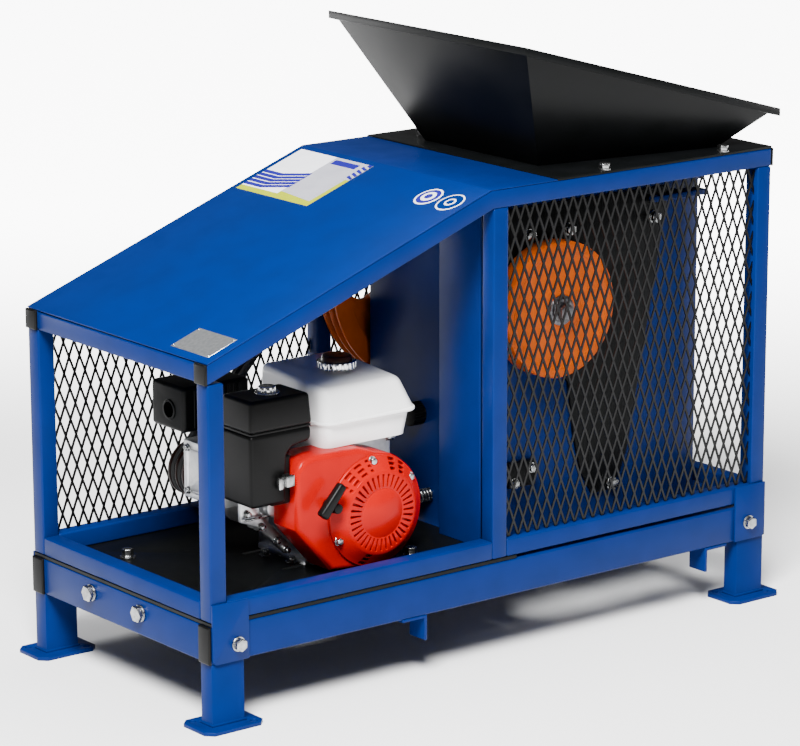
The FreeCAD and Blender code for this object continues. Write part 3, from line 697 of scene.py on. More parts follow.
def arc(centre: Pair, radius: float, start: float, end: float, steps: int) -> list[Pair]:
    """Lists points along an arc in a side view.

    Args:
        centre: Its centre's station and height.
        radius: Its radius.
        start: The first angle in degrees, from +X towards +Z.
        end: The last angle.
        steps: How many points there are.

    Returns:
        The points.
    """
    angles = (math.radians(start + (end - start) * i / (steps - 1)) for i in range(steps))
    return [(centre[0] + radius * math.cos(a), centre[1] + radius * math.sin(a)) for a in angles]


# ---------------------------------------------------------------- fasteners


@dataclass(frozen=True)
class HexBolt:
    """A hexagon head on a washer, modelled once for each size and copied where it is needed."""

    across: float = 19.0
    head: float = 8.0
    washer: float = 24.0
    collar: float = 2.5
    finish: Finish = ZINC

    @cache
    def shape(self) -> bpy.types.Mesh:
        """Models the bolt at the origin, pointing up.

        Returns:
            The bolt's mesh, to be copied.
        """
        zero = (STAND_LENGTH / 2, STAND_WIDTH / 2, 0.0)
        washer = disc("washer", zero, self.washer / 2, self.collar, sides=32)
        round_off(washer, 0.4, 1)
        lifted = (zero[0], zero[1], self.collar)
        head = disc("hex_bolt", lifted, self.across / math.sqrt(3), self.head, sides=6)
        pick(head, faces=facing((0, 0, 1)))
        inset(self.across * 0.12, 0.6)
        leave()
        round_off(head, 0.7, 2, 25)
        whole = weld("hex_bolt", (head, washer))
        mesh = whole.data
        bpy.data.objects.remove(whole)
        return mesh

    def build(
        self, name: str, place: Triple, axis: Axis, sign: int, body: Body = Body.STAND
    ) -> None:
        """Copies the bolt to one place.

        Args:
            name: The piece's name.
            place: The point on the surface that the washer sits on.
            axis: The axis that the head points along.
            sign: 1 to point along it, -1 against it.
            body: The body that it rides on.
        """
        piece = bpy.data.objects.new(name, self.shape().copy())
        piece.data.name = name
        bpy.context.scene.collection.objects.link(piece)
        turn = {
            (Axis.X, 1): Matrix.Rotation(math.pi / 2, 4, "Y"),
            (Axis.X, -1): Matrix.Rotation(-math.pi / 2, 4, "Y"),
            (Axis.Y, 1): Matrix.Rotation(-math.pi / 2, 4, "X"),
            (Axis.Y, -1): Matrix.Rotation(math.pi / 2, 4, "X"),
            (Axis.Z, 1): Matrix.Identity(4),
            (Axis.Z, -1): Matrix.Rotation(math.pi, 4, "X"),
        }[(axis, sign)]
        piece.data.transform(Matrix.Translation(spot(*place)) @ turn)
        fit(piece, body, self.finish)

    def row(self, name: str, places: Iterable[Triple], axis: Axis, sign: int) -> None:
        """Copies the bolt to numbered places on the stand."""
        for number, place in enumerate(places):
            self.build(f"{name}_{number}", place, axis, sign)


# ---------------------------------------------------------------- stand and cage


@dataclass
class Stand:
    """The welded base, its legs and the square-tube cage."""

    corner: float = 3.0
    tubes: tuple[str, ...] = (
        "base_beam_near", "base_beam_far", "base_crossbars", "cage_lower_rails",
        "cage_post_near_left", "cage_post_far_left", "cage_post_near_mid", "cage_post_far_mid",
        "cage_post_near_right", "cage_post_far_right", "cage_cross_rails",
    )
    legs: tuple[str, ...] = ("leg_near_left", "leg_near_right", "leg_far_left", "leg_far_right")
    plates: tuple[str, ...] = ("chute_brackets", "partition_plate")
    plate_rise: float = 30.0
    plate_corner: float = 8.0
    bead: Triple = (66.0, 36.0, 4.0)
    bead_height: float = 7.5
    corner_bolts: tuple[Triple, ...] = (
        (47, -4, 132), (1112, -4, 136), (47, 504, 132), (1112, 504, 136)
    )
    tension_bolts: tuple[Triple, ...] = ((-4, 192, 142), (-4, 331, 142))

    def tube(self, node: str) -> None:
        """Makes the round-cornered bars of one node.

        Args:
            node: The node, whose solids are straight tubes.
        """
        bars = [bar(f"{node}_bar_{n}", low, high) for n, (low, high) in enumerate(islands(node))]
        piece = weld(node + "_tube", bars)
        round_off(piece, self.corner, 3)
        fit(piece, Body.STAND, BLUE_ENAMEL, (node,))

    def top_rail(self, side: str) -> None:
        """Makes one bent side rail.

        Args:
            side: Which side it is on, near or far.
        """
        near = 0.0 if side == "near" else STAND_WIDTH - TUBE
        shift = TUBE * (STRETCH - 1) / SLOPE
        outline = [
            (0, CANOPY_LOW - TUBE * STRETCH), (BEND + shift, DECK - TUBE),
            (STAND_LENGTH, DECK - TUBE), (STAND_LENGTH, DECK), (BEND, DECK), (0, CANOPY_LOW),
        ]
        piece = profile(f"top_rail_{side}_tube", outline, near, near + TUBE)
        round_off(piece, self.corner, 3, 40)
        fit(piece, Body.STAND, BLUE_ENAMEL, (f"top_rail_{side}",))

    def leg(self, node: str) -> None:
        """Makes a leg with its foot plate and the weld round its foot.

        Args:
            node: The leg's node.
        """
        piece = copy_of(node, node + "_welded")
        round_off(piece, 1.0, 2)
        low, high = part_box(node)
        middle = Vector(((low.x + high.x) / 2, (low.y + high.y) / 2, low.z + self.bead_height / 1000))
        half = Vector(self.bead) / 2000
        bead = bar(node + "_bead", middle - half, middle + half)
        round_off(bead, 1.6, 2)
        whole = weld(node + "_welded", (piece, bead))
        fit(whole, Body.STAND, BLUE_ENAMEL, (node,))

    def corner_plates(self) -> None:
        """Makes the flat corner plates, the near ones taller, each with one rounded corner."""
        plates = []
        for number, (low, high) in enumerate(islands("corner_plates")):
            rise = self.plate_rise / 1000 if low.y < 0 else 0.0
            top = high + Vector((0, 0, rise))
            corner = bar(f"corner_plate_{number}", low, top)
            inner = min(abs(low.x), abs(top.x)) + 0.001
            pick(
                corner,
                edges=lambda e: span(e, Axis.Y) > 0.002
                and all(v.co.z < low.z + 0.001 and abs(v.co.x) > inner for v in e.verts),
            )
            bevel_selected(self.plate_corner, 5)
            leave()
            plates.append(corner)
        joined = weld("corner_plates_welded", plates)
        round_off(joined, 0.8, 2, 50)
        fit(joined, Body.STAND, BLUE_ENAMEL, ("corner_plates",))

    def end_caps(self) -> None:
        """Makes the moulded plugs in the ends of the base beams."""
        caps = []
        for number, (low, high) in enumerate(islands("end_caps")):
            cap = bar(f"end_cap_{number}", low, high)
            pick(cap, faces=facing((-1.0 if low.x < 0 else 1.0, 0, 0)))
            inset(2.2, 1.2)
            leave()
            caps.append(cap)
        plugs = weld("end_caps_moulded", caps)
        round_off(plugs, 0.8, 2)
        fit(plugs, Body.STAND, BLACK_PLASTIC, ("end_caps",))

    def bolts(self) -> None:
        """Makes the corner bolts and the two belt-tension bolts with their bosses."""
        corner_bolt = HexBolt(across=19, head=8, washer=24)
        for number, place in enumerate(self.corner_bolts):
            corner_bolt.build(f"corner_bolt_{number}", place, Axis.Y, -1 if place[1] < 0 else 1)
        for number, place in enumerate(self.tension_bolts):
            boss = disc(f"tension_boss_{number}", place, 14, -place[0], Axis.X, 32)
            round_off(boss, 1.2)
            fit(boss, Body.STAND, ZINC)
        tension_bolt = HexBolt(across=24, head=6.5, washer=26, collar=1.0)
        tension_bolt.row("tension_bolt", self.tension_bolts, Axis.X, -1)

    def build(self) -> None:
        """Makes every bar, plate, cap and bolt of the stand."""
        for node in self.tubes:
            self.tube(node)
        for side in ("near", "far"):
            self.top_rail(side)
        for node in self.legs:
            self.leg(node)
        for node in self.plates:
            piece = copy_of(node, node + "_folded")
            round_off(piece, 1.0, 2)
            fit(piece, Body.STAND, BLUE_ENAMEL, (node,))
        self.corner_plates()
        self.end_caps()
        self.bolts()


@dataclass
class EnginePlate:
    """The black plate that the engine slides on, and the bolts in its slots."""

    bolts: tuple[Pair, ...] = ((100, 377), (466, 102), (320, 172), (430, 172))
    partition_bolt: Triple = (594, 99, 175)

    def build(self) -> None:
        """Makes the plate and its bolts."""
        piece = copy_of("engine_plate", "engine_plate_slotted")
        round_off(piece, 0.8, 1)
        fit(piece, Body.STAND, BLACK_ENAMEL, ("engine_plate",))
        tall = HexBolt(across=17, head=12, washer=26)
        tall.row("plate_bolt", [(x, y, PLATE_TOP) for x, y in self.bolts], Axis.Z, 1)
        HexBolt(across=17, head=8, washer=22).build("partition_bolt", self.partition_bolt, Axis.Z, 1)


@dataclass
class MeshGuard:
    """An expanded-metal guard: diamonds in two offset rows, cut to its bay."""

    node: str
    pitch_x: float = 20.0
    pitch_z: float = 52.0
    strand: float = 3.6
    thick: float = 2.2
    sloping: bool = False

    def diamonds(self, low: Vector, high: Vector, shift: bool) -> bpy.types.Object:
        """Makes one of the two rows of diamonds.

        Args:
            low: The bay's lowest corner.
            high: The bay's highest corner.
            shift: Whether this is the row that lies half a diamond off.

        Returns:
            The row's mesh, larger than the bay.
        """
        deselect()
        half = Vector((self.pitch_x / 2000, 0, self.pitch_z / 2000))
        start = low + half if shift else low
        bpy.ops.mesh.primitive_circle_add(
            vertices=4, radius=1, fill_type="NGON", location=start, rotation=(math.pi / 2, 0, 0)
        )
        piece = bpy.context.object
        piece.scale = (self.pitch_x / 2000, self.pitch_z / 2000, 1)
        settle(piece, self.node + "_diamonds")
        bpy.ops.object.mode_set(mode="EDIT")
        bpy.ops.mesh.select_all(action="SELECT")
        inset(self.strand / 2)
        bpy.ops.mesh.delete(type="FACE")
        pull((0, self.thick / 1000, 0))
        size = (high - low) * 1000
        repeat(piece, math.ceil(size.x / self.pitch_x) + 1, (self.pitch_x, 0, 0))
        repeat(piece, math.ceil(size.z / self.pitch_z) + 1, (0, 0, self.pitch_z))
        return piece

    def trim(self, piece: bpy.types.Object, point: Vector, normal: Vector) -> None:
        """Cuts off what lies beyond a plane and closes the cut strands.

        Args:
            piece: The mesh to trim.
            point: A point on the plane.
            normal: The way to what is cut off.
        """
        take(piece)
        bpy.ops.object.mode_set(mode="EDIT")
        bpy.ops.mesh.select_all(action="SELECT")
        bpy.ops.mesh.bisect(plane_co=point, plane_no=normal, clear_outer=True, use_fill=True)
        leave()

    def build(self) -> None:
        """Makes the guard inside its bay."""
        low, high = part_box(self.node)
        piece = weld(self.node + "_expanded", [self.diamonds(low, high, s) for s in (False, True)])
        margin = Vector((0.0005, 0, 0.0005))
        self.trim(piece, low + margin, Vector((-1, 0, 0)))
        self.trim(piece, high - margin, Vector((1, 0, 0)))
        self.trim(piece, low + margin, Vector((0, 0, -1)))
        self.trim(piece, high - margin, Vector((0, 0, 1)))
        if self.sloping:
            under = spot(0, 0, CANOPY_LOW - TUBE * STRETCH - 0.5)
            self.trim(piece, under, Vector((-SLOPE, 0, 1)).normalized())
        fit(piece, Body.STAND, BLACK_MESH, (self.node,))


# ---------------------------------------------------------------- sheets and hopper


@dataclass
class Canopy:
    """The folded sheet over the engine, with its plate, its label and its round stickers."""

    plate: tuple[Pair, Pair] = ((13, 67), (16, 115))
    label: tuple[Pair, Pair] = ((401, 536), (290, 486))
    rings: tuple[Pair, ...] = ((495, 93), (494, 37))
    ring_radius: float = 24.0
    film: float = 0.25

    def lay(
        self, name: str, outline: Sequence[Pair], finish: Finish, layer: int = 0, thick: float = 0.25
    ) -> bpy.types.Object:
        """Lays a thin flat shape on the slope.

        Args:
            name: The piece's name.
            outline: Stations and depths round the shape, in order.
            finish: Its finish.
            layer: How many films lie under it.
            thick: Its thickness.

        Returns:
            The shape, not yet on its body.
        """
        foot = CANOPY_LOW + CANOPY_SKIN + layer * self.film
        piece = plate(name, [spot(x, y, foot + SLOPE * x) for x, y in outline], (0, 0, thick / 1000))
        dress(piece, finish)
        return piece

    def name_plate(self) -> None:
        """Makes the bare metal plate, its raised edges and its rivets."""
        (x0, x1), (y0, y1) = self.plate
        blank = self.lay(
            "name_plate_blank", [(x0, y0), (x1, y0), (x1, y1), (x0, y1)], ETCHED_ALLOY, thick=0.8
        )
        pick(blank, faces=lambda f: f.normal.z > 0.9)
        inset(5.0, -0.25)
        leave()
        round_off(blank, 0.3, 1)
        fit(blank, Body.STAND)
        corners = [(x, y) for x in (x0 + 3.5, x1 - 3.5) for y in (y0 + 3.5, y1 - 3.5)]
        for number, (x, y) in enumerate(corners):
            rivet = disc(
                f"plate_rivet_{number}", (x, y, slope_height(x) + 0.6), 2.2, 1.4, sides=16, tip=1.3
            )
            round_off(rivet, 0.3)
            fit(rivet, Body.STAND, ZINC)

    def label_sheet(self) -> None:
        """Makes the printed label from bare fields of colour."""
        (x0, x1), (y0, y1) = self.label
        split, foot, edge = 387.0, 413.0, 486.0
        films = [
            self.lay("ground", [(x0, y0), (x1, y0), (x1, y1), (x0, y1)], YELLOW_VINYL),
            self.lay("grey", [(foot, 300), (x1, 300), (x1, split), (421, split)], PALE_VINYL, 1),
            self.lay("edge", [(edge, y0), (x1, y0), (x1, 300), (edge, 300)], PALE_VINYL, 1),
            self.lay("white", [(foot, split), (x1, split), (x1, y1), (foot, y1)], WHITE_VINYL, 1),
        ]
        for step in range(5):
            low = 416 + step * 10
            stripe = [
                (low, y1), (low, 440), (low + 18, split - 4), (low + 26, split - 4), (low + 8, 440),
                (low + 8, y1),
            ]
            films.append(self.lay(f"stripe_{step}", stripe, VIOLET_VINYL, 2))
        for step in range(4):
            low = edge + 2 + step * 10
            hatch = [(low, y0), (low + 5, y0), (low + 11, 306), (low + 5, 306)]
            films.append(self.lay(f"hatch_{step}", hatch, VIOLET_VINYL, 2))
        corner = [(528, y0), (x1, y0), (x1, 300), (531, 300)]
        films.append(self.lay("hatch_corner", corner, VIOLET_VINYL, 2))
        band = [(516, 316), (529, 316), (529, 380), (516, 380)]
        films.append(self.lay("band", band, VIOLET_VINYL, 2))
        fit(weld("label_printed", films), Body.STAND)

    def sticker(self, number: int, centre: Pair, layers: Sequence[tuple[float, Finish]]) -> None:
        """Makes one round sticker from plain rings.

        Args:
            number: Its number.
            centre: Its middle's station and depth.
            layers: Each disc's share of the radius and its finish, from the largest.
        """
        films = [
            self.lay(f"ring_{n}", arc(centre, self.ring_radius * share, 0, 352.5, 48), finish, n)
            for n, (share, finish) in enumerate(layers)
        ]
        fit(weld(f"sticker_{number}", films), Body.STAND)

    def build(self) -> None:
        """Makes the sheet, the plate, the label and the stickers."""
        sheet = copy_of("canopy_sheet", "canopy_sheet_folded")
        round_off(sheet, 0.7, 2, 15)
        fit(sheet, Body.STAND, BLUE_ENAMEL, ("canopy_sheet",))
        self.name_plate()
        self.label_sheet()
        for number, (ink, shares) in enumerate(
            ((VIOLET_VINYL, (1.0, 0.86, 0.55, 0.3)), (BLUE_ENAMEL, (1.0, 0.88, 0.42, 0.28)))
        ):
            layers = list(zip(shares, (WHITE_VINYL, ink, WHITE_VINYL, ink)))
            self.sticker(number, self.rings[number], layers)


@dataclass
class Hopper:
    """The black flange, the four sheets and the folded lip round the rim."""

    rim: tuple[Pair, Pair] = ((614, 995), (1156, 843))
    half: float = 252.0
    lip: float = 13.0
    proud: float = 5.0
    bolts: tuple[Pair, ...] = ((792, 12), (1050, 12), (792, 488), (1050, 488))

    def build(self) -> None:
        """Makes the flange, the sheets, the lip and the flange bolts."""
        for node in ("hopper", "hopper_flange"):
            piece = copy_of(node, node + "_sheets")
            round_off(piece, 0.6, 2)
            fit(piece, Body.STAND, BLACK_ENAMEL, (node,))
        (x0, z0), (x1, z1) = self.rim
        fall = (z0 - z1) / (x1 - x0)
        deselect()
        bpy.ops.mesh.primitive_plane_add(size=1)
        lip = bpy.context.object
        corners = (
            (x0 - self.proud, -1), (x1 + self.proud, -1), (x0 - self.proud, 1), (x1 + self.proud, 1)
        )
        for vertex, (x, side) in zip(lip.data.vertices, corners):
            y = STAND_WIDTH / 2 + side * (self.half + self.proud)
            vertex.co = spot(x, y, z0 - fall * (x - x0) - self.lip + 1)
        bpy.ops.object.mode_set(mode="EDIT")
        bpy.ops.mesh.select_all(action="SELECT")
        inset(self.proud + 3.0)
        bpy.ops.mesh.delete(type="FACE")
        pull((0, 0, self.lip / 1000))
        lip.name = "hopper_lip"
        round_off(lip, 0.8, 2)
        fit(lip, Body.STAND, BLACK_ENAMEL)
        bolt = HexBolt(across=17, head=8, washer=22)
        bolt.row("flange_bolt", [(x, y, FLANGE_TOP) for x, y in self.bolts], Axis.Z, 1)


# ---------------------------------------------------------------- crusher


@dataclass
class Crusher:
    """The welded body, its stiffeners, jaws and tension gear."""

    walls: tuple[str, ...] = ("side_plate_near", "side_plate_far", "front_wall", "rear_wall")
    cheek_bolts: tuple[Pair, ...] = ((784, 671), (969, 669), (884, 224), (700, 671))
    block_bolts: tuple[Pair, ...] = ((702, 283), (665, 262))
    cheeks: Pair = (91, 409)
    blocks: Pair = (83, 417)
    rear_foot_bolt: Triple = (1098, 150, 177)
    fixed_face: tuple[Pair, Pair] = ((985, 700), (907, 222))
    swing_face: tuple[Pair, Pair] = ((836, 700), (885, 222))
    tooth: float = 22.0
    ridge: float = 5.0
    rod_nut: Triple = (566, 238, 219)
    spring_start: Triple = (568.6, 238, 219)
    spring_radius: float = 10.2
    wire: float = 1.6
    turns: int = 7
    spring_pitch: float = 6.4
    knob: Triple = (590, 268, 353)

    def teeth(self, name: str, face: tuple[Pair, Pair], near: float, far: float, out: int) -> None:
        """Makes the upright ridges on a jaw's face.

        Args:
            name: The piece's name.
            face: The face's top and foot, each a station and a height.
            near: The face's near depth.
            far: The face's far depth.
            out: Which way the ridges stand out, 1 along X or -1 against it.
        """
        top, foot = face
        proud = self.ridge * out
        ridge = profile(
            name,
            [foot, (foot[0] + proud, foot[1]), (top[0] + proud, top[1]), top],
            near,
            near + self.tooth,
        )
        back = min(spot(x, 0, 0).x * out for x, _ in face) + 0.0005
        pick(
            ridge,
            edges=lambda e: span(e, Axis.Z) > 0.1
            and span(e, Axis.Y) < 1e-6
            and min(v.co.x * out for v in e.verts) > back,
        )
        bevel_selected(4.5, 2)
        leave()
        repeat(ridge, int((far - near) / self.tooth), (0, self.tooth, 0))
        bpy.ops.object.shade_smooth_by_angle(angle=math.radians(35))
        fit(ridge, Body.STAND, JAW_STEEL)

    def spring(self) -> None:
        """Makes the coil spring on the tension rod."""
        deselect()
        bpy.ops.mesh.primitive_circle_add(
            vertices=8,
            radius=self.wire / 1000,
            fill_type="NOTHING",
            location=(0, 0, self.spring_radius / 1000),
            rotation=(math.pi / 2, 0, 0),
        )
        coil = settle(bpy.context.object, "tension_spring_coil")
        screw = coil.modifiers.new("turns", "SCREW")
        screw.axis = "X"
        screw.angle = math.tau
        screw.screw_offset = self.spring_pitch / 1000
        screw.iterations = self.turns
        screw.steps = 20
        screw.render_steps = 20
        screw.use_merge_vertices = False
        bpy.ops.object.modifier_apply(modifier=screw.name)
        coil.data.transform(Matrix.Translation(spot(*self.spring_start)))
        take(coil)
        bpy.ops.object.mode_set(mode="EDIT")
        bpy.ops.mesh.select_all(action="SELECT")
        bpy.ops.mesh.fill_holes(sides=12)
        bpy.ops.mesh.normals_make_consistent(inside=False)
        leave()
        bpy.ops.object.shade_smooth_by_angle(angle=math.radians(50))
        fit(coil, Body.STAND, ZINC, ("tension_spring",))

    def bolts(self) -> None:
        """Makes the bolts of the cheeks, the blocks and the rear foot."""
        bolt = HexBolt(across=17, head=8, washer=22)
        small = HexBolt(across=13, head=6, washer=18)
        for side, cheek, face, sign in zip(("near", "far"), self.cheeks, self.blocks, (-1, 1)):
            spots = [(x, cheek, z) for x, z in self.cheek_bolts]
            bolt.row(f"cheek_bolt_{side}", spots, Axis.Y, sign)
            spots = [(x, face, z) for x, z in self.block_bolts]
            small.row(f"block_bolt_{side}", spots, Axis.Y, sign)
        foot = HexBolt(across=19, head=8, washer=24)
        foot.build("rear_foot_bolt", self.rear_foot_bolt, Axis.Z, 1)

    def tension_gear(self) -> None:
        """Makes the threaded rod, its spring and nut, and the lobed knob."""
        rod = copy_of("tension_rod", "tension_rod_threaded")
        round_off(rod, 0.8, 1)
        fit(rod, Body.STAND, TURNED_STEEL, ("tension_rod",))
        self.spring()
        HexBolt(across=19, head=8, washer=26).build("tension_rod_nut", self.rod_nut, Axis.X, -1)
        knob = disc("adjuster_knob_lobed", self.knob, 20, 24, Axis.X, 24)
        pick(knob, faces=every_other(Axis.X, 15))
        inset(0.6, -1.6)
        leave()
        round_off(knob, 0.8, 2)
        fit(knob, Body.STAND, BLACK_PLASTIC, ("adjuster_knob",))

    def build(self) -> None:
        """Makes the walls, cheeks, jaws, blocks, bolts and tension gear."""
        for node in self.walls:
            piece = copy_of(node, node + "_welded")
            round_off(piece, 1.2, 2)
            fit(piece, Body.STAND, BLUE_ENAMEL, (node,))
        for node in ("cheek_plate_near", "cheek_plate_far", "toggle_blocks"):
            piece = copy_of(node, node + "_finished")
            round_off(piece, 1.0, 2)
            fit(piece, Body.STAND, BLACK_ENAMEL, (node,))
        for node in ("fixed_jaw", "swing_jaw", "toggle_plate"):
            piece = copy_of(node, node + "_cast")
            round_off(piece, 2.5, 2)
            fit(piece, Body.STAND, JAW_STEEL, (node,))
        self.teeth("fixed_jaw_liner", self.fixed_face, 114, 386, -1)
        self.teeth("swing_jaw_liner", self.swing_face, 134, 366, 1)
        self.bolts()
        self.tension_gear()


@dataclass
class Rotor:
    """The shaft, the plain flywheel and the belt wheel."""

    shaft: Pair = (733, 550)
    radius: float = 113.0
    near: float = 47.0
    thick: float = 37.0
    shaft_ends: Pair = (44.0, 468.0)

    def flywheel(self) -> None:
        """Makes the plain flywheel with its raised rim."""
        x, z = self.shaft
        wheel = disc("flywheel_near_turned", (x, self.near, z), self.radius, self.thick, Axis.Y, 96)
        for way in ((0, -1, 0), (0, 1, 0)):
            pick(wheel, faces=facing(way))
            inset(16.0)
            inset(3.0, -2.5)
            inset(50.0)
            inset(3.0, 2.0)
            leave()
        round_off(wheel, 1.6, 2)
        fit(wheel, Body.ROTOR, ORANGE_ENAMEL, ("flywheel_near",))

    def build(self) -> None:
        """Makes the shaft, hub, bolt and both wheels."""
        self.flywheel()
        wheel = copy_of("driven_pulley", "driven_pulley_cast")
        round_off(wheel, 1.0, 2, 40)
        fit(wheel, Body.ROTOR, ORANGE_ENAMEL, ("driven_pulley",))
        shaft = copy_of("eccentric_shaft", "eccentric_shaft_turned")
        round_off(shaft, 1.2, 2, 40)
        fit(shaft, Body.ROTOR, TURNED_STEEL, ("eccentric_shaft",))
        x, z = self.shaft
        bolt = HexBolt(across=24, head=10, washer=40, collar=4, finish=TURNED_STEEL)
        for name, y, sign in zip(("near", "far"), self.shaft_ends, (-1, 1)):
            bolt.build(f"shaft_bolt_{name}", (x, y, z), Axis.Y, sign, Body.ROTOR)


@dataclass
class Drive:
    """The small pulley and the two belts."""

    bolt: Triple = (284, 460, 275)

    def build(self) -> None:
        """Makes the pulley and the belts."""
        pulley = copy_of("driver_pulley", "driver_pulley_cast")
        round_off(pulley, 0.8, 2, 40)
        # The pulley's dark red-brown is painted shade laid over the belt wheels' orange.
        fit(pulley, Body.DRIVE, PAINTED_SHADE_BROWN, ("driver_pulley",))
        bolt = HexBolt(across=17, head=7, washer=30, collar=3)
        bolt.build("driver_pulley_bolt", self.bolt, Axis.Y, 1, Body.DRIVE)
        belts = copy_of("drive_belts", "drive_belts_moulded")
        round_off(belts, 0.8, 1, 40)
        fit(belts, Body.STAND, RUBBER, ("drive_belts",))


# ---------------------------------------------------------------- engine


@dataclass
class Engine:
    """The petrol engine: block, head, covers, tank, air cleaner, muffler and reduction case."""

    crank: Pair = (380.0, 266.0)
    fan_radius: float = 94.0
    slots: int = 36
    grip: Box = ((265, 49, 275), (283, 65, 337))
    grip_lean: float = 41.0
    tank_upper: Box = ((294, 104, 417), (482, 284, 484))
    tank_lower: Box = ((297, 108, 373), (474, 276, 413))
    tank_seam: Box = ((292, 100, 412), (486, 286, 418))
    cap: Pair = (378, 182)
    cleaner_lid: Box = ((149, 100, 423), (270, 186, 475))
    cleaner_band: Box = ((151, 102, 420), (267, 184, 424))
    wing_nut: Pair = (212, 143)
    can: Box = ((160, 298, 383), (290, 390, 458))
    outlet: Pair = (338, 416)
    slat: Box = ((180, 296.5, 390), (184, 299, 451))
    slats: int = 9
    elbow: Box = ((230, 288, 339), (270, 338, 392))
    crankcase: Box = ((304, 150, PLATE_TOP), (462, 300, 375))
    feet: Box = ((296, 160, PLATE_TOP), (470, 290, 181))
    barrel: Box = ((201, 216, 288), (306, 284, 352))
    fin: Box = ((210, 202, 281), (213, 298, 366))
    fins: int = 8
    valve_cover: Box = ((164, 200, 279), (203, 306, 374))
    valve_rim: Box = ((196, 198, 277), (203, 308, 376))
    valve_bolts: tuple[Pair, ...] = ((212, 291), (294, 362), (212, 362), (294, 291))
    case_bolts: tuple[Pair, ...] = ((332, 326), (332, 222), (434, 289), (230, 291), (240, 240))
    carburettor: Pair = (232, 200)
    switch_box: Box = ((190, 104, 300), (229, 150, 380))
    choke_lever: Box = ((196, 90, 329), (206, 99, 349))
    choke_tab: Box = ((206, 84, 333), (222, 99, 352))
    stay_bolts: tuple[Pair, ...] = ((186, 276), (214, 250), (243, 222), (262, 204))
    foot_bolts: tuple[Pair, ...] = ((281, 250), (292, 192))
    cover_bolts: tuple[Pair, ...] = ((372, 350), (304, 229), (447, 312))
    cover_front: float = 83.0

    def recoil(self) -> None:
        """Makes the starter's dished cover with its bands and its ring of cooling slots."""
        x, z = self.crank
        cover = disc("recoil_cover", (x, 84, z), 91, 5, Axis.Y, self.slots * 2)
        pick(cover, faces=facing((0, -1, 0)))
        inset(2.0, 0.5)
        for _ in range(3):
            inset(5.6, 5.0)
            inset(1.4, 0.6)
        inset(4.0, 1.0)
        inset(22.0, 0.6)
        inset(1.6, -1.0)
        inset(2.0, 1.4)
        leave()

        def slotted(low: float, high: float, angles: Sequence[Pair], every: int) -> None:
            """Sinks slots into the cover's faces.

            Args:
                low: The least distance from the middle, in millimetres.
                high: The greatest.
                angles: The stretches of the ring in degrees that have slots.
                every: Each this many-th face stays whole.
            """

            def rule(face: bmesh.types.BMFace) -> bool:
                """Accepts the faces that become slots.

                Args:
                    face: One of the cover's faces.

                Returns:
                    Whether it lies in the ring and in one of its stretches.
                """
                middle = (face.calc_center_median() - spot(x, 0, z)) * 1000
                turn = math.degrees(math.atan2(middle.z, middle.x)) % 360
                index = int(turn / (180 / self.slots))
                inside = any(start <= turn <= end for start, end in angles)
                reach = math.hypot(middle.x, middle.z)
                return low < reach < high and face.normal.y < -0.3 and inside and index % every > 0

            pick(cover, faces=rule)
            inset(0.7)
            bpy.ops.mesh.extrude_region_move(TRANSFORM_OT_translate={"value": (0, 0.008, 0)})
            leave()

        slotted(42, 60, ((0, 360),), 2)
        for band in range(3):
            reach = 86.2 - 7 * band
            slotted(reach - 2, reach + 2, ((100, 145), (50, 76), (238, 262)), 3)
        round_off(cover, 0.35, 1, 40)
        fit(cover, Body.STAND, RED_ENAMEL, ("recoil_starter",))

    def fan_cover(self) -> None:
        """Makes the pressed fan cover with its rounded front edge."""
        outline = arc(self.crank, self.fan_radius, -100, 84, 40) + [
            (353, 372), (262, 374), (240, 368), (229, 352), (228, 257), (295, 180),
        ]
        cover = profile("fan_cover_pressed", outline, 88, 150)
        pick(cover, edges=lambda e: all(v.co.y < spot(0, 89, 0).y for v in e.verts))
        bevel_selected(9.0, 4)
        leave()
        take(cover)
        bpy.ops.object.shade_smooth_by_angle(angle=math.radians(35))
        fit(cover, Body.STAND, RED_ENAMEL, ("fan_cover",))

    def pull_grip(self) -> None:
        """Makes the starter's T grip, leaning as it hangs in its guide."""
        grip = block("recoil_grip", *self.grip)
        pick(grip, faces=facing((0, 0, 1)))
        low, high = (spot(*corner) for corner in self.grip)
        middle = (low + high) / 2
        top = Vector((middle.x, middle.y, high.z))
        bpy.ops.transform.resize(value=(0.85, 0.9, 1), center_override=top)
        leave()
        round_off(grip, 4.5, 4)
        lean = Matrix.Rotation(math.radians(self.grip_lean), 4, "Y")
        grip.data.transform(Matrix.Translation(middle) @ lean @ Matrix.Translation(-middle))
        neck = disc("recoil_guide", (288, 58, 290), 8, 30, Axis.Y, 24, 11)
        round_off(neck, 1.0)
        fit(weld("recoil_grip", (grip, neck)), Body.STAND, BLACK_PLASTIC)

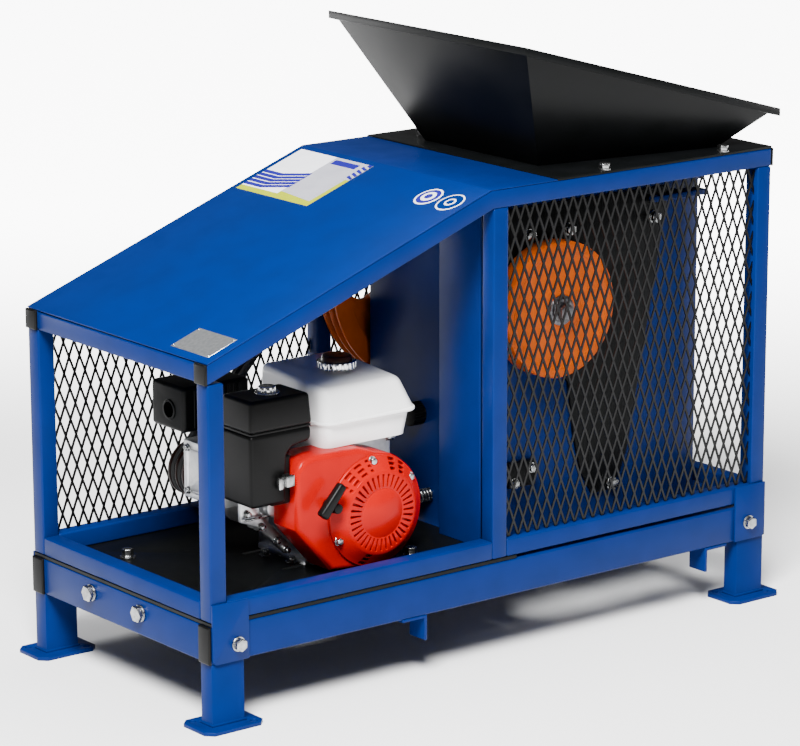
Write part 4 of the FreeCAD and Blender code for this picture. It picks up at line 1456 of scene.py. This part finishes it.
    def tank(self) -> None:
        """Makes the tank's two pressed halves, its seam and its cap."""
        upper = block("fuel_tank_upper", *self.tank_upper)
        pick(upper, faces=facing((0, 0, 1)))
        bpy.ops.transform.resize(value=(0.84, 0.98, 1), center_override=spot(300, 194, 484))
        leave()
        front = spot(0, 120, 483)
        pick(upper, edges=lambda e: all(v.co.z > front.z and v.co.y < front.y for v in e.verts))
        bpy.ops.transform.translate(value=(0, 0.002, -0.013))
        leave()
        pick(upper, edges=lambda e: span(e, Axis.Z) > 0.03)
        bevel_selected(18.0, 6)
        leave()
        pick(upper, edges=lambda e: all(v.co.z > spot(0, 0, 468).z for v in e.verts))
        bevel_selected(11.0, 5)
        leave()
        lower = block("fuel_tank_lower", *self.tank_lower)
        pick(lower, faces=facing((0, 0, -1)))
        bpy.ops.transform.resize(value=(0.94, 0.94, 1), center_override=spot(380, 193, 375))
        leave()
        pick(lower, edges=lambda e: span(e, Axis.Z) > 0.03)
        bevel_selected(18.0, 5)
        leave()
        seam = block("fuel_tank_seam", *self.tank_seam)
        pick(seam, edges=lambda e: span(e, Axis.Z) > 0.004)
        bevel_selected(26.0, 6)
        leave()
        round_off(seam, 2.2, 3, 60)
        whole = weld("fuel_tank_pressed", (upper, lower, seam))
        take(whole)
        bpy.ops.object.shade_smooth_by_angle(angle=math.radians(38))
        fit(whole, Body.STAND, WHITE_ENAMEL, ("fuel_tank",))
        neck = disc("fuel_cap_ring", (*self.cap, 483.5), 32, 11, Axis.Z, 48)
        pick(neck, faces=every_other(Axis.Z, 7.5))
        inset(0.3, -0.7)
        leave()
        round_off(neck, 1.0, 2, 50)
        fit(neck, Body.STAND, CHROME, ("fuel_cap",))
        top = disc("fuel_cap_top", (*self.cap, 494.5), 26, 9, Axis.Z, 48, 23)
        round_off(top, 2.0, 3)
        # The cap's top takes the same dark red-brown, painted shade on orange.
        fit(top, Body.STAND, PAINTED_SHADE_BROWN)

    def air_cleaner(self) -> None:
        """Makes the air cleaner's case, lid and wing nut."""
        case = profile(
            "air_cleaner_case",
            [(150, 303), (217, 303), (220, 382), (230, 392), (267, 398), (268, 421), (149, 421)],
            100,
            186,
        )
        lid = block("air_cleaner_lid", *self.cleaner_lid)
        pick(lid, faces=facing((0, 0, 1)))
        bpy.ops.transform.resize(value=(0.94, 0.92, 1), center_override=spot(209, 143, 475))
        inset(10.0, -1.5)
        leave()
        band = block("air_cleaner_band", *self.cleaner_band)
        for part in (case, lid):
            round_off(part, 7.0, 4)
        round_off(band, 1.0)
        whole = weld("air_cleaner_moulded", (case, lid, band))
        fit(whole, Body.STAND, BLACK_PLASTIC, ("air_cleaner",))
        boss = disc("air_cleaner_washer", (*self.wing_nut, 472.5), 20, 3.5, Axis.Z, 32)
        round_off(boss, 0.8)
        nut = disc("air_cleaner_nut", (*self.wing_nut, 476), 15, 9, Axis.Z, 20, 14)
        pick(nut, faces=every_other(Axis.Z, 18))
        inset(0.4, -1.0)
        leave()
        round_off(nut, 0.5)
        fit(weld("air_cleaner_nut", (boss, nut)), Body.STAND, CHROME)

    def muffler(self) -> None:
        """Makes the muffler's box with its guard, outlet and elbow."""
        can = block("muffler_can", *self.can)
        round_off(can, 7.0, 4)
        ring = disc("muffler_ring", (158, *self.outlet), 17, 4, Axis.X, 40)
        round_off(ring, 1.2, 2, 50)
        for part in (can, ring):
            cut_away(part, disc("muffler_hole", (150, *self.outlet), 13, 60, Axis.X, 32))
        slat = block("muffler_slat", *self.slat)
        repeat(slat, self.slats, (11, 0, 0))
        round_off(slat, 0.6, 1)
        elbow = block("muffler_elbow", *self.elbow)
        pick(elbow, faces=facing((0, 0, 1)))
        bpy.ops.transform.translate(value=(0, 0.012, 0))
        leave()
        round_off(elbow, 8.0, 4)
        whole = weld("muffler_pressed", (can, ring, slat, elbow))
        take(whole)
        bpy.ops.object.shade_smooth_by_angle(angle=math.radians(35))
        fit(whole, Body.STAND, BLACK_ENAMEL, ("muffler",))

    def block_and_head(self) -> None:
        """Makes the crankcase, the finned barrel, the valve cover and the reduction case."""
        case = block("crankcase_cast", *self.crankcase)
        pick(case, faces=facing((0, 0, -1)))
        inset(6.0, 0.0)
        bpy.ops.mesh.extrude_region_move(TRANSFORM_OT_translate={"value": (0, 0, 0.012)})
        leave()
        round_off(case, 9.0, 3)
        feet = block("crankcase_feet", *self.feet)
        round_off(feet, 2.0)
        whole = weld("crankcase_cast", (case, feet))
        fit(whole, Body.STAND, CAST_ALLOY, ("engine_block",))
        barrel = block("barrel_core", *self.barrel)
        round_off(barrel, 4.0)
        fin = block("barrel_fin", *self.fin)
        repeat(fin, self.fins, (11.5, 0, 0))
        round_off(fin, 1.0, 1)
        cover = block("valve_cover", *self.valve_cover)
        pick(cover, faces=facing((-1, 0, 0)))
        inset(9.0, 0.0)
        inset(3.0, -2.0)
        inset(4.0, 2.0)
        leave()
        round_off(cover, 6.0, 4)
        rim = block("valve_cover_rim", *self.valve_rim)
        round_off(rim, 2.0)
        head = weld("engine_head_finned", (barrel, fin, cover, rim))
        take(head)
        bpy.ops.object.shade_smooth_by_angle(angle=math.radians(35))
        fit(head, Body.STAND, CAST_ALLOY, ("engine_head",))
        bolt = HexBolt(across=10, head=5, washer=13, collar=1.5)
        bolt.row("valve_cover_bolt", [(165, y, z) for y, z in self.valve_bolts], Axis.X, -1)
        case = copy_of("reduction_case", "reduction_case_cast")
        round_off(case, 4.0, 3, 40)
        fit(case, Body.STAND, CAST_ALLOY, ("reduction_case",))
        bolt = HexBolt(across=10, head=5, washer=14, collar=1.5)
        bolt.row("case_bolt", [(x, 348, z) for x, z in self.case_bolts], Axis.Y, 1)

    def trim(self) -> None:
        """Makes the carburettor, levers, switch and the small fixings."""
        x, y = self.carburettor
        bowl = disc("carburettor_bowl", (x, y, 240), 17, 34, Axis.Z, 32, 19)
        throat = disc("carburettor_throat", (x, y - 50, 282), 16, 62, Axis.Y, 32)
        float_nut = disc("carburettor_nut", (x, y, 234), 7, 8, Axis.Z, 6)
        for part in (bowl, throat, float_nut):
            round_off(part, 1.5, 2, 40)
        fit(weld("carburettor", (bowl, throat, float_nut)), Body.STAND, CAST_ALLOY)
        box = block("switch_box", *self.switch_box)
        round_off(box, 5.0, 3)
        fit(box, Body.STAND, BLACK_PLASTIC)
        lever = block("choke_lever", *self.choke_lever)
        tab = block("choke_tab", *self.choke_tab)
        for part in (lever, tab):
            round_off(part, 1.5, 2)
        fit(weld("choke_lever", (lever, tab)), Body.STAND, ZINC)
        outline = [
            (176, 262), (206, 250), (262, 196), (270, 196), (270, 212), (214, 272), (204, 303),
            (176, 303),
        ]
        stay = profile("governor_stay", outline, 166, 176)
        round_off(stay, 2.0)
        fit(stay, Body.STAND, CAST_ALLOY)
        link = disc("throttle_link", (176, 158, 268), 2.2, 62, Axis.X, 12)
        round_off(link, 0.5)
        fit(link, Body.STAND, ZINC)
        tap = disc("fuel_tap", (452, 150, 362), 7, 16, Axis.X, 20)
        round_off(tap, 1.0)
        fit(tap, Body.STAND, ZINC)
        plug = disc("oil_filler", (322, 132, 196), 11, 20, Axis.Y, 12)
        round_off(plug, 1.5)
        fit(plug, Body.STAND, BLACK_PLASTIC)

    def bolts(self) -> None:
        """Makes the bolts of the stay, the feet and the fan cover."""
        stay = HexBolt(across=9, head=6, washer=13, collar=3)
        stay.row("stay_bolt", [(x, 166, z) for x, z in self.stay_bolts], Axis.Y, -1)
        foot = HexBolt(across=13, head=7, washer=20, collar=2)
        foot.row("engine_foot_bolt", [(x, y, PLATE_TOP) for x, y in self.foot_bolts], Axis.Z, 1)
        cover = HexBolt(across=11, head=6, washer=15, collar=2)
        spots = [(x, self.cover_front, z) for x, z in self.cover_bolts]
        cover.row("cover_bolt", spots, Axis.Y, -1)

    def build(self) -> None:
        """Makes the whole engine."""
        self.block_and_head()
        self.fan_cover()
        self.recoil()
        self.pull_grip()
        self.tank()
        self.air_cleaner()
        self.muffler()
        self.trim()
        self.bolts()


# ---------------------------------------------------------------- studio


@dataclass
class Studio:
    """The floor, the lights and the camera."""

    eye: Triple = (-3.6631, -4.695, 1.8947)
    yaw: float = 0.66833
    pitch: float = 0.26376
    lens: float = 167.4
    shift: Pair = (-0.0356, 0.1048)
    glow_start: float = 0.9
    glow_end: float = 3.6
    glow: float = 9.0
    surround: float = 0.12

    def floor(self) -> None:
        """Lays a wide pale floor that is lit from within far behind the object."""
        deselect()
        bpy.ops.mesh.primitive_plane_add(size=60, location=(0, 0, 0))
        plane = settle(bpy.context.object, "studio_floor")
        made = bpy.data.materials.new("studio_floor_painted_glow")
        made.use_nodes = True
        made.node_tree.nodes.clear()
        place = add_node(made, "ShaderNodeTexCoord")
        back = (math.sin(self.yaw), math.cos(self.yaw), 0.0)
        behind = add_node(
            made,
            "ShaderNodeVectorMath",
            {0: place.outputs["Object"], 1: back},
            operation="DOT_PRODUCT",
        )
        # Painted light: the floor glows more the farther it lies behind the machine, so the far floor
        # reads white while the floor by the machine keeps its shadow.
        glow = add_node(
            made,
            "ShaderNodeMapRange",
            {
                "Value": behind.outputs["Value"],
                "From Min": self.glow_start,
                "From Max": self.glow_end,
                "To Min": 0.0,
                "To Max": self.glow,
            },
            interpolation_type="SMOOTHSTEP",
        )
        shader = add_node(
            made,
            "ShaderNodeBsdfPrincipled",
            {
                "Base Color": linear("#f6f6f6"),
                "Roughness": 0.6,
                "Emission Color": linear("#ffffff"),
                "Emission Strength": glow.outputs[0],
            },
        )
        add_node(made, "ShaderNodeOutputMaterial", {"Surface": shader.outputs[0]})
        plane.data.materials.append(made)

    def lamp(self, name: str, place: Triple, aim: Triple, size: float, power: float) -> None:
        """Hangs one soft square lamp.

        Args:
            name: The lamp's name.
            place: Where it hangs, in metres.
            aim: The point it looks at.
            size: Its width in metres.
            power: Its power in watts.
        """
        data = bpy.data.lights.new(name, "AREA")
        data.size = size
        data.energy = power
        lamp = bpy.data.objects.new(name, data)
        bpy.context.scene.collection.objects.link(lamp)
        lamp.location = place
        lamp.rotation_euler = (Vector(aim) - Vector(place)).to_track_quat("-Z", "Y").to_euler()

    def camera(self) -> None:
        """Sets the camera at its viewing angle."""
        data = bpy.data.cameras.new("studio_camera")
        data.lens = self.lens
        data.sensor_width = 36.0
        data.shift_x, data.shift_y = self.shift
        data.clip_start, data.clip_end = 0.1, 100.0
        camera = bpy.data.objects.new("studio_camera", data)
        bpy.context.scene.collection.objects.link(camera)
        camera.location = self.eye
        camera.rotation_euler = (math.pi / 2 - self.pitch, 0.0, -self.yaw)
        bpy.context.scene.camera = camera

    def build(self) -> None:
        """Sets up the floor, an even pale surround, the lamps and the camera."""
        self.floor()
        world = bpy.data.worlds.new("studio_surround")
        world.use_nodes = True
        background = world.node_tree.nodes["Background"]
        background.inputs["Color"].default_value = linear("#ffffff")
        background.inputs["Strength"].default_value = self.surround
        bpy.context.scene.world = world
        self.lamp("key", (-3.0, -2.8, 5.0), (0, 0, 0.3), 2.2, 1750)
        self.lamp("top", (0.8, 0.3, 4.5), (0, 0, 0.5), 3.0, 200)
        self.camera()


def dress_hidden_nodes() -> None:
    """Gives each frame node a finish too, shown or not."""
    by_slot = {
        "frame_paint": BLUE_ENAMEL, "black_paint": BLACK_ENAMEL, "black_mesh": BLACK_MESH,
        "orange_paint": ORANGE_ENAMEL, "red_paint": RED_ENAMEL, "white_paint": WHITE_ENAMEL,
        "black_plastic": BLACK_PLASTIC, "plain_steel": TURNED_STEEL, "jaw_steel": JAW_STEEL,
        "cast_alloy": CAST_ALLOY, "belt_rubber": RUBBER, "pulley_iron": PAINTED_SHADE_BROWN,
    }
    for part in frame["record"]["subparts"]:
        dress(frame["nodes"][part["node"]], by_slot[part["material_slot"]])


def main() -> None:
    """Builds every sub-assembly in order."""
    logging.basicConfig(level=logging.INFO, format="%(name)s %(message)s")
    dress_hidden_nodes()
    for part in (
        Stand(), EnginePlate(), MeshGuard("mesh_near_right"), MeshGuard("mesh_far_right"),
        MeshGuard("mesh_far_left", sloping=True), Canopy(), Hopper(), Crusher(), Rotor(), Drive(),
        Engine(), Studio(),
    ):
        log.info("building %s", type(part).__name__)
        part.build()
    deselect()


if __name__ == "__main__":
    main()
